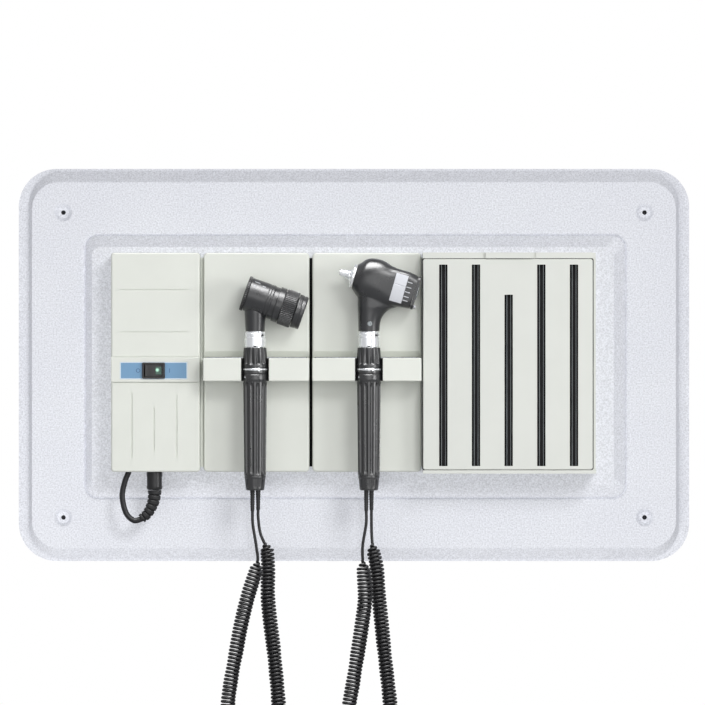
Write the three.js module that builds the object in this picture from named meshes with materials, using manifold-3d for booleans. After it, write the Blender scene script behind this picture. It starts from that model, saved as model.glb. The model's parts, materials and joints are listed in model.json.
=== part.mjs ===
// Wall-mounted diagnostic station: an otoscope and a skin-viewing magnifier on corded handles, their two
// cradles, a power module and a dispenser for ear specula, all carried on a moulded wallboard.
//
// Millimetres. +X is to the viewer's right, +Z is up and -Y points out of the wall towards the viewer.
// The origin is the centre of the backing board's rear face, which lies on the wall plane y = 0.
// "Depth" is a distance out of the wall, so a depth of 10 is y = -10.

import * as THREE from "three";
import { mergeVertices } from "three/addons/utils/BufferGeometryUtils.js";
import Module from "manifold-3d";

const DEG = Math.PI / 180;
const GAP = 0.3; // running and assembly clearance between neighbouring pieces
const WALL = 2.5; // moulded wall thickness of the covers
const ROUND = 24; // sides of a turned piece
const BEYOND = 100; // a depth in front of everything, where a cutting tool can end

// Wallboard
const BOARD = { halfWidth: 336, halfHeight: 196.5, corner: 38 };
const LIP = { sideWidth: 10.5, topWidth: 2, corner: 33 }; // broad at the sides and thin above and below
const FIELD = { inset: 13.5, corner: 27 };
const LIP_DEPTH = 4;
const FIELD_DEPTH = 15;
const PLATEAU_DEPTH = 23;
const PLATEAU_FOOT = { x: [-268, 271], z: [-132, 129], corner: 12 };
const PLATEAU_FACE = { x: [-262, 260], z: [-120, 118], corner: 8 };
const SHEET = 3;
const DIMPLE = { x: 291, z: 152.7, radius: 8, floorDepth: 11, holeRadius: 2.25 };
const BACKING = { halfWidth: 318, halfHeight: 178.5, corner: 24, thickness: 6 };

// Modules on the plateau
const MODULE_TOP = 112;
const MODULE_BOTTOM = -106.5;
const MODULE_BACK = PLATEAU_DEPTH + GAP;
const POWER = { left: -242, right: -153.5, depth: 55, bandDepth: 57 };
const CRADLE_SPANS = { left: [-150, -44.5], right: [-41.5, 67] };
const PANEL_DEPTH = 47;
const UPPER_PANEL_DEPTH = 49.5;
const LEDGE = { top: 7, bottom: -16, depth: 80, grooveTop: 14.5 };
const DISPENSER = { left: 68.5, right: 237.5, baseRight: 241, depth: 65 };
const SLOT = { width: 8.3, pitch: 32.5, middleX: 153.85, top: 100, middleTop: 70, bottom: -100.5 };

// Instruments
const HANDLE_DEPTH = 73;
const HANDLE_X = { left: -98.3, right: 14.8 };
const NOTCH_RADIUS = 13.9;
const COLLAR_RADIUS = 12.5;
const CORE_RADIUS = 8.2;
const SLEEVE_BORE = CORE_RADIUS + GAP;
const NECK_TOP = 33.2;
const NECK_RADIUS = 10.6;
const CORD_OFFSET = 2.6; // each cord leaves the handle this far left of its axis and returns as far right
const PLUG_DEPTH = 36;
const OTOSCOPE_TILT = 16 * DEG;
const OTOSCOPE_FACE = { x: -14, z: 88.1 };
const MAGNIFIER_TILT = 19.3 * DEG;
const MAGNIFIER_FACE = { x: -10.5, z: 71.8 };

const wasm = await Module();
wasm.setup();

// ---------- materials ----------

const MATERIALS = {
  boardPlastic: { color: 0xe4e6ec, roughness: 0.5, metalness: 0 },
  backingPanel: { color: 0x303134, roughness: 0.7, metalness: 0 },
  housingPlastic: { color: 0xdee1da, roughness: 0.45, metalness: 0 },
  stripBlue: { color: 0x6e9ecd, roughness: 0.4, metalness: 0 },
  blackPlastic: { color: 0x1c1d1f, roughness: 0.4, metalness: 0 },
  gripPlastic: { color: 0x3a3b3d, roughness: 0.45, metalness: 0 },
  headPlastic: { color: 0x333436, roughness: 0.38, metalness: 0 },
  rubber: { color: 0x141416, roughness: 0.7, metalness: 0 },
  chrome: { color: 0xdfe2e6, roughness: 0.12, metalness: 1 },
  satinSteel: { color: 0xc9ccd0, roughness: 0.3, metalness: 1 },
  brass: { color: 0xc7a14a, roughness: 0.3, metalness: 1 },
  glass: { color: 0xbcd4ea, roughness: 0.05, metalness: 0 },
  greenLens: { color: 0x4f7f63, roughness: 0.2, metalness: 0 },
  circuitGreen: { color: 0x1f5a3a, roughness: 0.6, metalness: 0 },
  transformerIron: { color: 0x5d5f63, roughness: 0.55, metalness: 0.6 },
};

function widened([from, to], margin) {
  return [from - margin, to + margin];
}

function material(name) {
  return new THREE.MeshStandardMaterial(MATERIALS[name]);
}

function piece(name, materialName, geometry) {
  const mesh = new THREE.Mesh(geometry, material(materialName));
  mesh.name = name;
  return mesh;
}

// ---------- solid helpers ----------

function toSolid(geometry) {
  const bare = geometry.index ? geometry.toNonIndexed() : geometry.clone();
  bare.deleteAttribute("normal");
  bare.deleteAttribute("uv");
  const merged = mergeVertices(bare, 1e-4);
  const vertProperties = merged.attributes.position.array;
  const triVerts = new Uint32Array(merged.index.array);
  return new wasm.Manifold(new wasm.Mesh({ numProp: 3, vertProperties, triVerts }));
}

function toGeometry(solid) {
  const mesh = solid.getMesh();
  const geometry = new THREE.BufferGeometry();
  geometry.setAttribute("position", new THREE.BufferAttribute(mesh.vertProperties, 3));
  geometry.setIndex(new THREE.BufferAttribute(mesh.triVerts, 1));
  return geometry;
}

function join(...geometries) {
  return toGeometry(wasm.Manifold.union(geometries.map(toSolid)));
}

function cut(body, ...tools) {
  return toGeometry(toSolid(body).subtract(wasm.Manifold.union(tools.map(toSolid))));
}

// A box between two corners. Depths are measured out of the wall.
function block([x0, x1], [depth0, depth1], [z0, z1]) {
  const box = new THREE.BoxGeometry(x1 - x0, depth1 - depth0, z1 - z0);
  return box.translate((x0 + x1) / 2, -(depth0 + depth1) / 2, (z0 + z1) / 2);
}

// A solid of revolution about Z. The profile lists [radius, z] up the outside.
// A ring's profile closes on itself.
function turned(profile, sides = ROUND) {
  const points = profile.map(([radius, z]) => new THREE.Vector2(radius, z));
  return new THREE.LatheGeometry(points, sides).rotateX(Math.PI / 2);
}

function ring(outer, inner) {
  const outline = [...outer, ...inner.reverse()];
  return turned([...outline, outline[0]]);
}

function rod(radius, bottom, top, sides = ROUND) {
  return turned([[0, bottom], [radius, bottom], [radius, top], [0, top]], sides);
}

// A flat piece standing parallel to the wall, drawn as seen from the front.
function facePlate(shape, depth0, depth1, curveSegments = 6) {
  const options = { depth: depth1 - depth0, bevelEnabled: false, curveSegments };
  return new THREE.ExtrudeGeometry(shape, options).rotateX(Math.PI / 2).translate(0, -depth0, 0);
}

// A rounded rectangle around the centre [x, z].
function roundedRectangle([x, z], halfWidth, halfHeight, corner) {
  const shape = new THREE.Shape();
  const right = x + halfWidth - corner;
  const left = x - halfWidth + corner;
  const top = z + halfHeight - corner;
  const bottom = z - halfHeight + corner;
  shape.absarc(right, top, corner, 0, 90 * DEG);
  shape.absarc(left, top, corner, 90 * DEG, 180 * DEG);
  shape.absarc(left, bottom, corner, 180 * DEG, 270 * DEG);
  shape.absarc(right, bottom, corner, 270 * DEG, 360 * DEG);
  return shape;
}

function spanRectangle([x0, x1], [z0, z1], corner) {
  return roundedRectangle([(x0 + x1) / 2, (z0 + z1) / 2], (x1 - x0) / 2, (z1 - z0) / 2, corner);
}

// Skins a list of closed rings that all have the same number of points, and caps both ends.
function loft(rings) {
  const count = rings[0].length;
  const positions = rings.flat().flatMap((point) => [point.x, point.y, point.z]);
  const faces = [];
  for (let level = 0; level + 1 < rings.length; level++) {
    for (let i = 0; i < count; i++) {
      const a = level * count + i;
      const b = level * count + ((i + 1) % count);
      faces.push(a, b, b + count, a, b + count, a + count);
    }
  }
  const last = (rings.length - 1) * count;
  for (let i = 1; i + 1 < count; i++) {
    faces.push(0, i + 1, i, last, last + i, last + i + 1);
  }
  const geometry = new THREE.BufferGeometry();
  geometry.setAttribute("position", new THREE.Float32BufferAttribute(positions, 3));
  geometry.setIndex(faces);
  return geometry;
}

// A stack of rounded rectangles standing out of the wall, each drawn back by the inset on all sides.
function frontStack(levels, inset, curveSegments = 6) {
  const rings = levels.map(({ x, z, corner, depth }) => {
    const [left, right] = [x[0] + inset, x[1] - inset];
    const [bottom, top] = [z[0] + inset, z[1] - inset];
    const outline = spanRectangle([left, right], [bottom, top], corner - inset).getPoints(curveSegments);
    outline.pop();
    return outline.map((point) => new THREE.Vector3(point.x, point.y, depth));
  });
  return loft(rings).rotateX(Math.PI / 2);
}

// A round tube along a curve, with a radius that may change from its start (0) to its end (1).
function taperedTube(curve, radiusAt, steps, sides) {
  const frames = curve.computeFrenetFrames(steps, false);
  const rings = [];
  for (let i = 0; i <= steps; i++) {
    const centre = curve.getPointAt(i / steps);
    const radius = radiusAt(i / steps);
    const points = [];
    for (let side = 0; side < sides; side++) {
      const angle = (side / sides) * 360 * DEG;
      const across = frames.normals[i].clone().multiplyScalar(radius * Math.cos(angle));
      const along = frames.binormals[i].clone().multiplyScalar(radius * Math.sin(angle));
      points.push(centre.clone().add(across).add(along));
    }
    rings.push(points);
  }
  return loft(rings);
}

function curveThrough(points) {
  const places = points.map(([x, depth, z]) => new THREE.Vector3(x, -depth, z));
  return new THREE.CatmullRomCurve3(places, false, "centripetal");
}

// ---------- wallboard ----------

function centred(insetX, insetZ, corner, depth) {
  const right = BOARD.halfWidth - insetX;
  const top = BOARD.halfHeight - insetZ;
  return { x: [-right, right], z: [-top, top], corner, depth };
}

// The board's outer surface, or with the sheet thickness given, the hollow behind it.
function boardStack(sheet) {
  const back = sheet ? -1 : 0;
  const levels = [
    centred(0, 0, BOARD.corner, back),
    centred(0, 0, BOARD.corner, LIP_DEPTH - sheet),
    centred(LIP.sideWidth, LIP.topWidth, LIP.corner, LIP_DEPTH + 0.5 - sheet),
    centred(FIELD.inset, FIELD.inset, FIELD.corner, FIELD_DEPTH - sheet)];
  return frontStack(levels, sheet, 7);
}

function plateauStack(sheet) {
  const levels = [
    { ...PLATEAU_FOOT, depth: FIELD_DEPTH - 1 - sheet },
    { ...PLATEAU_FOOT, depth: FIELD_DEPTH - sheet },
    { ...PLATEAU_FACE, depth: PLATEAU_DEPTH - sheet }];
  return frontStack(levels, sheet);
}

function atDimples(makeTool) {
  const corners = [[1, 1], [-1, 1], [-1, -1], [1, -1]];
  return corners.map(([sideX, sideZ]) => {
    return makeTool().rotateX(Math.PI / 2).translate(sideX * DIMPLE.x, 0, sideZ * DIMPLE.z);
  });
}

function wallboard() {
  const { radius, floorDepth, holeRadius } = DIMPLE;
  const cups = atDimples(() => rod(radius + SHEET, BACKING.thickness + GAP, FIELD_DEPTH - 1, 20));
  const mouth = FIELD_DEPTH + 1;
  const recess = () => turned([[0, floorDepth], [radius - 1.5, floorDepth], [radius, mouth], [0, mouth]], 20);
  const hole = () => rod(holeRadius, 0, floorDepth + 1, 12);
  const skin = cut(join(boardStack(0), plateauStack(0)), boardStack(SHEET), plateauStack(SHEET));
  const body = cut(join(skin, ...cups), ...atDimples(recess), ...atDimples(hole));
  return piece("wallboard", "boardPlastic", body);
}

function backingBoard() {
  const { halfWidth, halfHeight, corner, thickness } = BACKING;
  const outline = roundedRectangle([0, 0], halfWidth, halfHeight, corner);
  return piece("backing_board", "backingPanel", facePlate(outline, 0, thickness));
}

// ---------- power module ----------

const SWITCH = { x: -199.6, z: -5.5, halfWidth: 11.4, halfHeight: 8.1, bezelDepth: 59, pivotDepth: 55 };
const ROCKER = { tilt: 8 * DEG, halfWidth: 8.9, height: 11.6, frontEnd: 4.4, frontMiddle: 3.2 };
const STRIP = { x: [-233, -166], z: [-14, 3], back: POWER.bandDepth - 1, thickness: 0.8 };
const PLUG = { x: -199.1, depth: 40, radius: 7.9, bottom: -124.7, top: -106.8 };
const LEAD = { x: -224.7, radius: 2.8 };
const SPIGOT_TOP = -98; // how far a plug reaches up through a module's underside
const CIRCUIT_DEPTH = 29;

function aroundSwitch(halfWidth, halfHeight, depths) {
  return block(widened([SWITCH.x, SWITCH.x], halfWidth), depths, widened([SWITCH.z, SWITCH.z], halfHeight));
}

function powerCover() {
  const span = [POWER.left, POWER.right];
  const heights = [MODULE_BOTTOM, MODULE_TOP];
  const bandHeights = [LEDGE.bottom - 1, LEDGE.top + 1];
  const inner = [[span[0] + WALL, span[1] - WALL], [heights[0] + WALL, heights[1] - WALL]];
  const body = facePlate(spanRectangle(span, heights, 3), MODULE_BACK, POWER.depth, 3);
  const band = block(span, [POWER.depth - 1, POWER.bandDepth], bandHeights);
  const cavity = facePlate(spanRectangle(...inner, 1.5), 0, POWER.depth - WALL, 2);
  const stripRecess = block(widened(STRIP.x, 0.2), [STRIP.back, BEYOND], widened(STRIP.z, 0.2));
  const switchHole = aroundSwitch(10.2, 7, [40, BEYOND]);
  const plugHole = rod(PLUG.radius - 1, -120, -100, 20).translate(PLUG.x, -PLUG.depth, 0);
  const leadHole = rod(LEAD.radius + 0.5, -120, -100, 12).translate(LEAD.x, -PLUG.depth, 0);
  const shell = cut(join(body, band), cavity, stripRecess, switchHole, plugHole, leadHole);
  return piece("power_cover", "housingPlastic", shell);
}

function powerInternals() {
  const baseFront = MODULE_BACK + 3;
  const baseSpan = [POWER.left + 3, POWER.right - 3];
  const base = block(baseSpan, [MODULE_BACK, baseFront], [MODULE_BOTTOM + 3, MODULE_TOP - 3]);
  const board = block([-235, -162], [CIRCUIT_DEPTH, CIRCUIT_DEPTH + 1.6], [28, 98]);
  const standoffs = [[-228, 35], [-169, 35], [-228, 91], [-169, 91]].map(([x, z]) => {
    return rod(3, baseFront - 1, CIRCUIT_DEPTH - GAP, 8).rotateX(Math.PI / 2).translate(x, 0, z);
  });
  const laminations = block([-222, -180], [baseFront + GAP, 44], [-84, -48]);
  const winding = block([-214, -188], [30, 49], [-89, -43]);
  return [
    piece("power_base", "blackPlastic", join(base, ...standoffs)),
    piece("power_circuit_board", "circuitGreen", board),
    piece("power_transformer", "transformerIron", join(laminations, winding)),
  ];
}

// The rocking key in its own frame, with its pivot at the origin and its front at -Y. A lens fills one face.
function rockerKey() {
  const { tilt, halfWidth, height, frontEnd, frontMiddle } = ROCKER;
  const outline = new THREE.Shape();
  outline.moveTo(-halfWidth, 2);
  outline.lineTo(halfWidth, 2);
  outline.lineTo(halfWidth, -frontEnd);
  outline.lineTo(0, -frontMiddle);
  outline.lineTo(-halfWidth, -frontEnd);
  const solid = new THREE.ExtrudeGeometry(outline, { depth: height, bevelEnabled: false });
  const key = solid.translate(0, 0, -height / 2);
  const pocket = new THREE.BoxGeometry(6.6, 2, 8.4).translate(4.4, -frontEnd, 0);
  const lens = new THREE.BoxGeometry(6, 0.7, 7.8).translate(4.4, -3.95, 0);
  const rocker = new THREE.Group();
  rocker.position.set(SWITCH.x, -SWITCH.pivotDepth, SWITCH.z);
  rocker.rotation.z = tilt;
  rocker.add(
    piece("switch_rocker", "blackPlastic", cut(key, pocket)),
    piece("rocker_lens", "greenLens", lens));
  return rocker;
}

function powerSwitch() {
  const { halfWidth, halfHeight, bezelDepth } = SWITCH;
  const stripFront = STRIP.back + STRIP.thickness;
  const strip = cut(
    block(STRIP.x, [STRIP.back + 0.05, stripFront], STRIP.z),
    aroundSwitch(10.4, 7.2, [50, 60]));
  const bezel = aroundSwitch(halfWidth, halfHeight, [stripFront + 0.1, bezelDepth]);
  const body = aroundSwitch(9.9, 6.7, [35, bezelDepth - 0.5]);
  const pocket = aroundSwitch(9.5, 6.1, [48, BEYOND]);
  return [
    piece("switch_strip", "stripBlue", strip),
    piece("switch_housing", "blackPlastic", cut(join(bezel, body), pocket)),
    rockerKey(),
  ];
}

function supplyLead() {
  const boot = curveThrough([
    [PLUG.x, PLUG.depth, PLUG.bottom - GAP], [PLUG.x, PLUG.depth, PLUG.bottom - 4],
    [-200.4, PLUG.depth, -137], [-205.5, PLUG.depth, -147.5], [-212, PLUG.depth, -153.4]]);
  const lead = curveThrough([
    [-213.6, PLUG.depth, -154.2], [-220, PLUG.depth, -155], [-227.5, PLUG.depth, -147.5],
    [-231.3, PLUG.depth, -131], [-228.5, PLUG.depth, -116], [LEAD.x, PLUG.depth, -106],
    [LEAD.x, PLUG.depth, SPIGOT_TOP - 1]]);
  const shell = turned([
    [0, PLUG.bottom], [PLUG.radius - 1, PLUG.bottom], [PLUG.radius, -122], [PLUG.radius, PLUG.top],
    [6, PLUG.top], [6, SPIGOT_TOP], [0, SPIGOT_TOP]], 20);
  const socket = ring([[9.8, -103.8], [9.8, -96.5]], [[6.4, -103.8], [6.4, -96.5]]);
  const bootRadius = (share) => 6.75 - 3.5 * share;
  return [
    piece("lead_socket", "blackPlastic", socket.translate(PLUG.x, -PLUG.depth, 0)),
    piece("supply_plug", "blackPlastic", shell.translate(PLUG.x, -PLUG.depth, 0)),
    piece("plug_boot", "rubber", taperedTube(boot, bootRadius, 10, 14)),
    piece("supply_lead", "rubber", taperedTube(lead, () => LEAD.radius, 26, 10)),
  ];
}

// ---------- cradles ----------

// The U-shaped opening that a handle drops into, as seen from above, open towards the viewer.
function notchTool(handleX, radius, bottom, top) {
  const shape = new THREE.Shape();
  shape.moveTo(handleX - radius, -LEDGE.depth - 5);
  shape.lineTo(handleX + radius, -LEDGE.depth - 5);
  shape.absarc(handleX, -HANDLE_DEPTH, radius, 0, 180 * DEG);
  const options = { depth: top - bottom, bevelEnabled: false, curveSegments: 10 };
  return new THREE.ExtrudeGeometry(shape, options).translate(0, 0, bottom);
}

function cradleHousing(side) {
  const span = CRADLE_SPANS[side];
  const handleX = HANDLE_X[side];
  const inset = [span[0] + WALL, span[1] - WALL];
  const heights = [MODULE_BOTTOM, MODULE_TOP];
  const body = facePlate(spanRectangle(span, heights, 3), MODULE_BACK, PANEL_DEPTH, 3);
  const upperOutline = spanRectangle(span, [LEDGE.grooveTop, MODULE_TOP], 2.5);
  const upper = facePlate(upperOutline, PANEL_DEPTH - 1, UPPER_PANEL_DEPTH, 3);
  const ledge = block(span, [PANEL_DEPTH - 1, LEDGE.depth], [LEDGE.bottom, LEDGE.top]);
  const hollow = join(
    block(inset, [0, PANEL_DEPTH - WALL], widened(heights, -WALL)),
    block(inset, [PANEL_DEPTH - WALL - 1, LEDGE.depth - WALL], widened([LEDGE.bottom, LEDGE.top], -WALL)));
  const cavity = cut(hollow, notchTool(handleX, NOTCH_RADIUS + WALL, LEDGE.bottom - 1, LEDGE.top + 1));
  const notch = notchTool(handleX, NOTCH_RADIUS, LEDGE.bottom - 5, LEDGE.top + 5);
  const plugHole = rod(4.3, -120, -100, 12).translate(handleX + CORD_OFFSET, -PLUG_DEPTH, 0);
  const housing = cut(join(body, upper, ledge), cavity, notch, plugHole);
  return piece("cradle_housing_" + side, "housingPlastic", housing);
}

function cradleLiner(side) {
  const handleX = HANDLE_X[side];
  const outer = notchTool(handleX, NOTCH_RADIUS - 0.15, LEDGE.bottom + 0.2, LEDGE.top - 0.4);
  const front = block([handleX - 20, handleX + 20], [LEDGE.depth - 1, LEDGE.depth + 20], [-30, 30]);
  const seat = notchTool(handleX, COLLAR_RADIUS + 0.25, LEDGE.bottom + 1, LEDGE.top + 5);
  const throat = notchTool(handleX, COLLAR_RADIUS - GAP, LEDGE.bottom - 5, LEDGE.top + 5);
  return piece("cradle_liner_" + side, "rubber", cut(outer, front, seat, throat));
}

function cordPlug(side) {
  const outline = [
    [0, -145], [1.9, -145], [2.4, -124], [6, -121], [6, PLUG.top], [4, PLUG.top],
    [4, SPIGOT_TOP], [0, SPIGOT_TOP]];
  const plug = piece("cord_plug_" + side, "rubber", turned(outline, 16));
  plug.position.set(HANDLE_X[side] + CORD_OFFSET, -PLUG_DEPTH, 0);
  return plug;
}

// ---------- specula dispenser ----------

const LID = { bottom: 106.2, pivotDepth: 31, pinRadius: 1.1 };
const LID_HALF = (MODULE_TOP - LID.bottom) / 2;

// A round bar along the lid's hinge line.
function alongHinge(radius, x0, x1, sides) {
  return rod(radius, x0, x1, sides).rotateY(Math.PI / 2).translate(0, -LID.pivotDepth, LID.bottom + LID_HALF);
}

function slotCentres() {
  return [-2, -1, 0, 1, 2].map((index) => SLOT.middleX + index * SLOT.pitch);
}

function dispenserBase() {
  const { left, baseRight, right } = DISPENSER;
  const back = block([left, baseRight], [MODULE_BACK, MODULE_BACK + 3.7], [-108, MODULE_TOP]);
  const lip = block([left, baseRight], [MODULE_BACK, DISPENSER.depth], [-108, -104.6]);
  const rightFlange = block([right + GAP, baseRight], [MODULE_BACK, 45], [-108, MODULE_TOP]);
  const leftEar = join(
    block([left, left + 2.6], [MODULE_BACK, LID.pivotDepth], [LID.bottom, MODULE_TOP]),
    alongHinge(LID_HALF, left, left + 2.6, 16));
  const pinHole = alongHinge(LID.pinRadius + 0.1, left - 1, baseRight + 1, 10);
  return piece("dispenser_base", "housingPlastic", cut(join(back, lip, rightFlange, leftEar), pinHole));
}

function dispenserCover() {
  const span = [DISPENSER.left, DISPENSER.right];
  const heights = [-104.2, 105.7];
  const inner = [[span[0] + WALL, span[1] - WALL], [heights[0] + WALL, heights[1] - WALL]];
  const body = facePlate(spanRectangle(span, heights, 2), MODULE_BACK + 4, DISPENSER.depth, 3);
  const cavity = facePlate(spanRectangle(...inner, 1), 0, DISPENSER.depth - WALL, 2);
  const slots = slotCentres().map((x) => {
    const top = x === SLOT.middleX ? SLOT.middleTop : SLOT.top;
    return block([x - SLOT.width / 2, x + SLOT.width / 2], [50, 70], [SLOT.bottom, top]);
  });
  return piece("dispenser_cover", "housingPlastic", cut(body, cavity, ...slots));
}

function dispenserLid() {
  const { left, right, depth } = DISPENSER;
  const slab = block([left, right], [LID.pivotDepth, depth + 0.5], [LID.bottom, MODULE_TOP]);
  const knuckle = alongHinge(LID_HALF, left, right, 16);
  const tab = block([131, 178], [depth, depth + 2], [LID.bottom, MODULE_TOP]);
  const earRoom = block([left - 1, left + 3], [0, LID.pivotDepth + 3.6], [100, 120]);
  const pinHole = alongHinge(LID.pinRadius + 0.2, left - 1, right + 1, 10);
  return piece("dispenser_lid", "housingPlastic", cut(join(slab, knuckle, tab), earRoom, pinHole));
}

function lidHingePin() {
  const pin = alongHinge(LID.pinRadius, DISPENSER.left + 0.2, DISPENSER.baseRight - 0.2, 10);
  return piece("lid_hinge_pin", "satinSteel", pin);
}

function dispenserChannels() {
  const { left, right } = DISPENSER;
  const front = block([left + 4, right - 4], [57, 58.5], [-101, 102]);
  const dividers = [-2.5, -1.5, -0.5, 0.5, 1.5, 2.5].map((index) => {
    const x = SLOT.middleX + index * SLOT.pitch * 0.96;
    return block([x - 0.8, x + 0.8], [30, 57.5], [-101, 102]);
  });
  const rails = slotCentres().flatMap((x) =>
    [-1.8, 1.8].map((offset) => block([x + offset - 0.4, x + offset + 0.4], [58, 62], [-101, 102])));
  return piece("dispenser_channels", "blackPlastic", join(front, ...dividers, ...rails));
}

// ---------- handles ----------

function sleeve(radius, bottom, top) {
  return ring([[radius, bottom], [radius, top]], [[SLEEVE_BORE, bottom], [SLEEVE_BORE, top]]);
}

function handle(side) {
  const grip = ring(
    [[10.75, -110], [11.75, -16], [11.9, -15], [COLLAR_RADIUS, -14], [COLLAR_RADIUS, -5.5]],
    [[SLEEVE_BORE, -110], [SLEEVE_BORE, -5.5]]);
  const capOutline = [
    [0, -124.5], [8.6, -124.5], [9.25, -123.8], [10.5, -111], [10.6, -110.2], [8.3, -110.2],
    [8.3, -104], [0, -104]];
  const cap = cut(turned(capOutline), rod(3.2, -130, -100, 12).translate(-CORD_OFFSET, 0, 0));
  const relief = turned([[0, -145], [2, -145], [2.6, -112], [0, -112]], 12).translate(-CORD_OFFSET, 0, 0);
  const core = [
    [CORE_RADIUS, -24], [CORE_RADIUS, 17.8], [NECK_RADIUS, 17.8], [NECK_RADIUS, 28.3],
    [NECK_RADIUS - 0.4, 28.8], [NECK_RADIUS, 29.3], [NECK_RADIUS, NECK_TOP]];
  const bore = [[3, -24], [3, 20], [7.2, 20], [7.2, NECK_TOP]];
  const dimmer = ring(
    [[COLLAR_RADIUS, -3], [12.4, 1], [11.2, 17.4]],
    [[SLEEVE_BORE, -3], [SLEEVE_BORE, 17.4]]);
  const group = new THREE.Group();
  group.add(
    piece("grip_" + side, "gripPlastic", grip),
    piece("end_cap_" + side, "gripPlastic", cap),
    piece("strain_relief_" + side, "rubber", relief),
    piece("coupling_neck_" + side, "chrome", ring(core, bore)),
    piece("contact_pin_" + side, "brass", rod(2.4, -12, 22.5, 12)),
    piece("trim_ring_" + side, "chrome", sleeve(COLLAR_RADIUS, -5.3, -3.3)),
    piece("rheostat_ring_" + side, "blackPlastic", dimmer));
  return group;
}

// ---------- cords ----------

// Each cord leaves the handle, hangs down as a coil, turns in a loop and comes back up behind it to the
// module's plug. The coil is held here as a plain sleeve of the coil's outside diameter.
const CORD = { wireRadius: 1.45, coilRadius: 7.6 };

// Points of [right of the handle's axis, depth, height].
const CORD_ROUTES = {
  left: [
    [-2.6, 73, -145.3], [-2.3, 73, -158], [1, 72, -180], [2, 70, -198], [-7.5, 66, -230], [-14, 62, -258],
    [-19.5, 59, -287], [-24.5, 56, -316], [-27.5, 53, -340], [-26, 51.5, -368], [-18.5, 50.5, -390],
    [-1.5, 50, -400], [15, 49, -390], [22.5, 48, -368], [23, 46, -340], [18.5, 43, -287], [15, 41, -258],
    [12.5, 39, -230], [12.5, 38, -201], [11, 37, -184], [5, 36, -168], [2.6, 36, -152], [2.6, 36, -145.3]],
  right: [
    [-2.6, 73, -145.3], [-2.8, 73, -158], [-6, 72, -180], [-6, 70, -198], [-4, 66, -230], [-7, 62, -258],
    [-11, 59, -287], [-15.5, 56, -316], [-20, 53, -340], [-22, 51.5, -368], [-16, 50.5, -390], [0, 50, -400],
    [16, 49, -390], [23, 48, -368], [21.5, 46, -340], [15.5, 43, -287], [12.5, 41, -258], [10, 39, -230],
    [7.5, 38, -201], [4, 37, -184], [2.8, 36, -168], [2.6, 36, -152], [2.6, 36, -145.3]],
};

// Thin cable at both ends and the coil's full width in between.
function cordRadius(share) {
  const fromEnd = Math.min(share, 1 - share);
  const coilStart = 0.085;
  const shoulder = 0.015;
  const swell = THREE.MathUtils.clamp((fromEnd - coilStart) / shoulder, 0, 1);
  return CORD.wireRadius + swell * (CORD.coilRadius - CORD.wireRadius);
}

function cord(side) {
  const route = CORD_ROUTES[side].map(([x, depth, z]) => [HANDLE_X[side] + x, depth, z]);
  return piece("cord_" + side, "rubber", taperedTube(curveThrough(route), cordRadius, 70, 8));
}

// ---------- otoscope head ----------

// Turns a piece made along +Z so that it runs along the head's viewing axis, from the front face to the eye.
function aim(object, face, tilt) {
  object.position.set(face.x, 0, face.z);
  object.rotation.y = 90 * DEG + tilt;
  return object;
}

// The same turn, made on a geometry that is to be joined or cut.
function aimed(geometry, face, tilt) {
  return geometry.rotateY(90 * DEG + tilt).translate(face.x, 0, face.z);
}

// A cross-section of the head: a rounded box with its own top, bottom and half width. Local -X is up.
function headSection([along, top, bottom, halfWidth, squareness], count = 28) {
  const middle = (top + bottom) / 2;
  const halfHeight = (top - bottom) / 2;
  const points = [];
  for (let i = 0; i < count; i++) {
    const angle = (i / count) * 360 * DEG;
    const upward = Math.sign(Math.cos(angle)) * Math.abs(Math.cos(angle)) ** (2 / squareness);
    const sideways = Math.sign(Math.sin(angle)) * Math.abs(Math.sin(angle)) ** (2 / squareness);
    points.push(new THREE.Vector3(-(middle + halfHeight * upward), -halfWidth * sideways, along));
  }
  return points;
}

function headShape(sections) {
  return loft(sections.map((section) => headSection(section)));
}

const HEAD_SECTIONS = [
  [0, 12.2, -12.2, 12.2, 2],
  [7.5, 20.3, -18.5, 16, 2.2],
  [14, 22.6, -20, 16.8, 2.3],
  [23, 23, -20, 16.6, 2.5],
  [33, 20.3, -19.5, 15.6, 3],
  [40, 19.3, -18.6, 14.6, 4.5],
  [52, 19.1, -17, 14, 5],
  [61, 17.4, -15.8, 13.4, 4],
];

const CHEEK = { middle: -0.65, along: 45.25, length: 28.3, width: 12.5, thickness: 0.9, offset: 14.65 };
const EYE_PIVOT = 12.8; // how far below the head's axis the eye lens swings from
const EYE_CENTRE = -2;
const PORT = { x: 0.8, z: 41.1, depth: 9.5 };

// The plain extension of the neck under the eye end, as seen from the front.
function neckWeb() {
  const web = new THREE.Shape();
  web.moveTo(4, 38);
  web.lineTo(10.8, 40);
  web.quadraticCurveTo(12.5, 53.5, 27.5, 57.2);
  web.lineTo(24, 72);
  web.lineTo(4, 72);
  return facePlate(web, -7.5, 7.5, 8);
}

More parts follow.
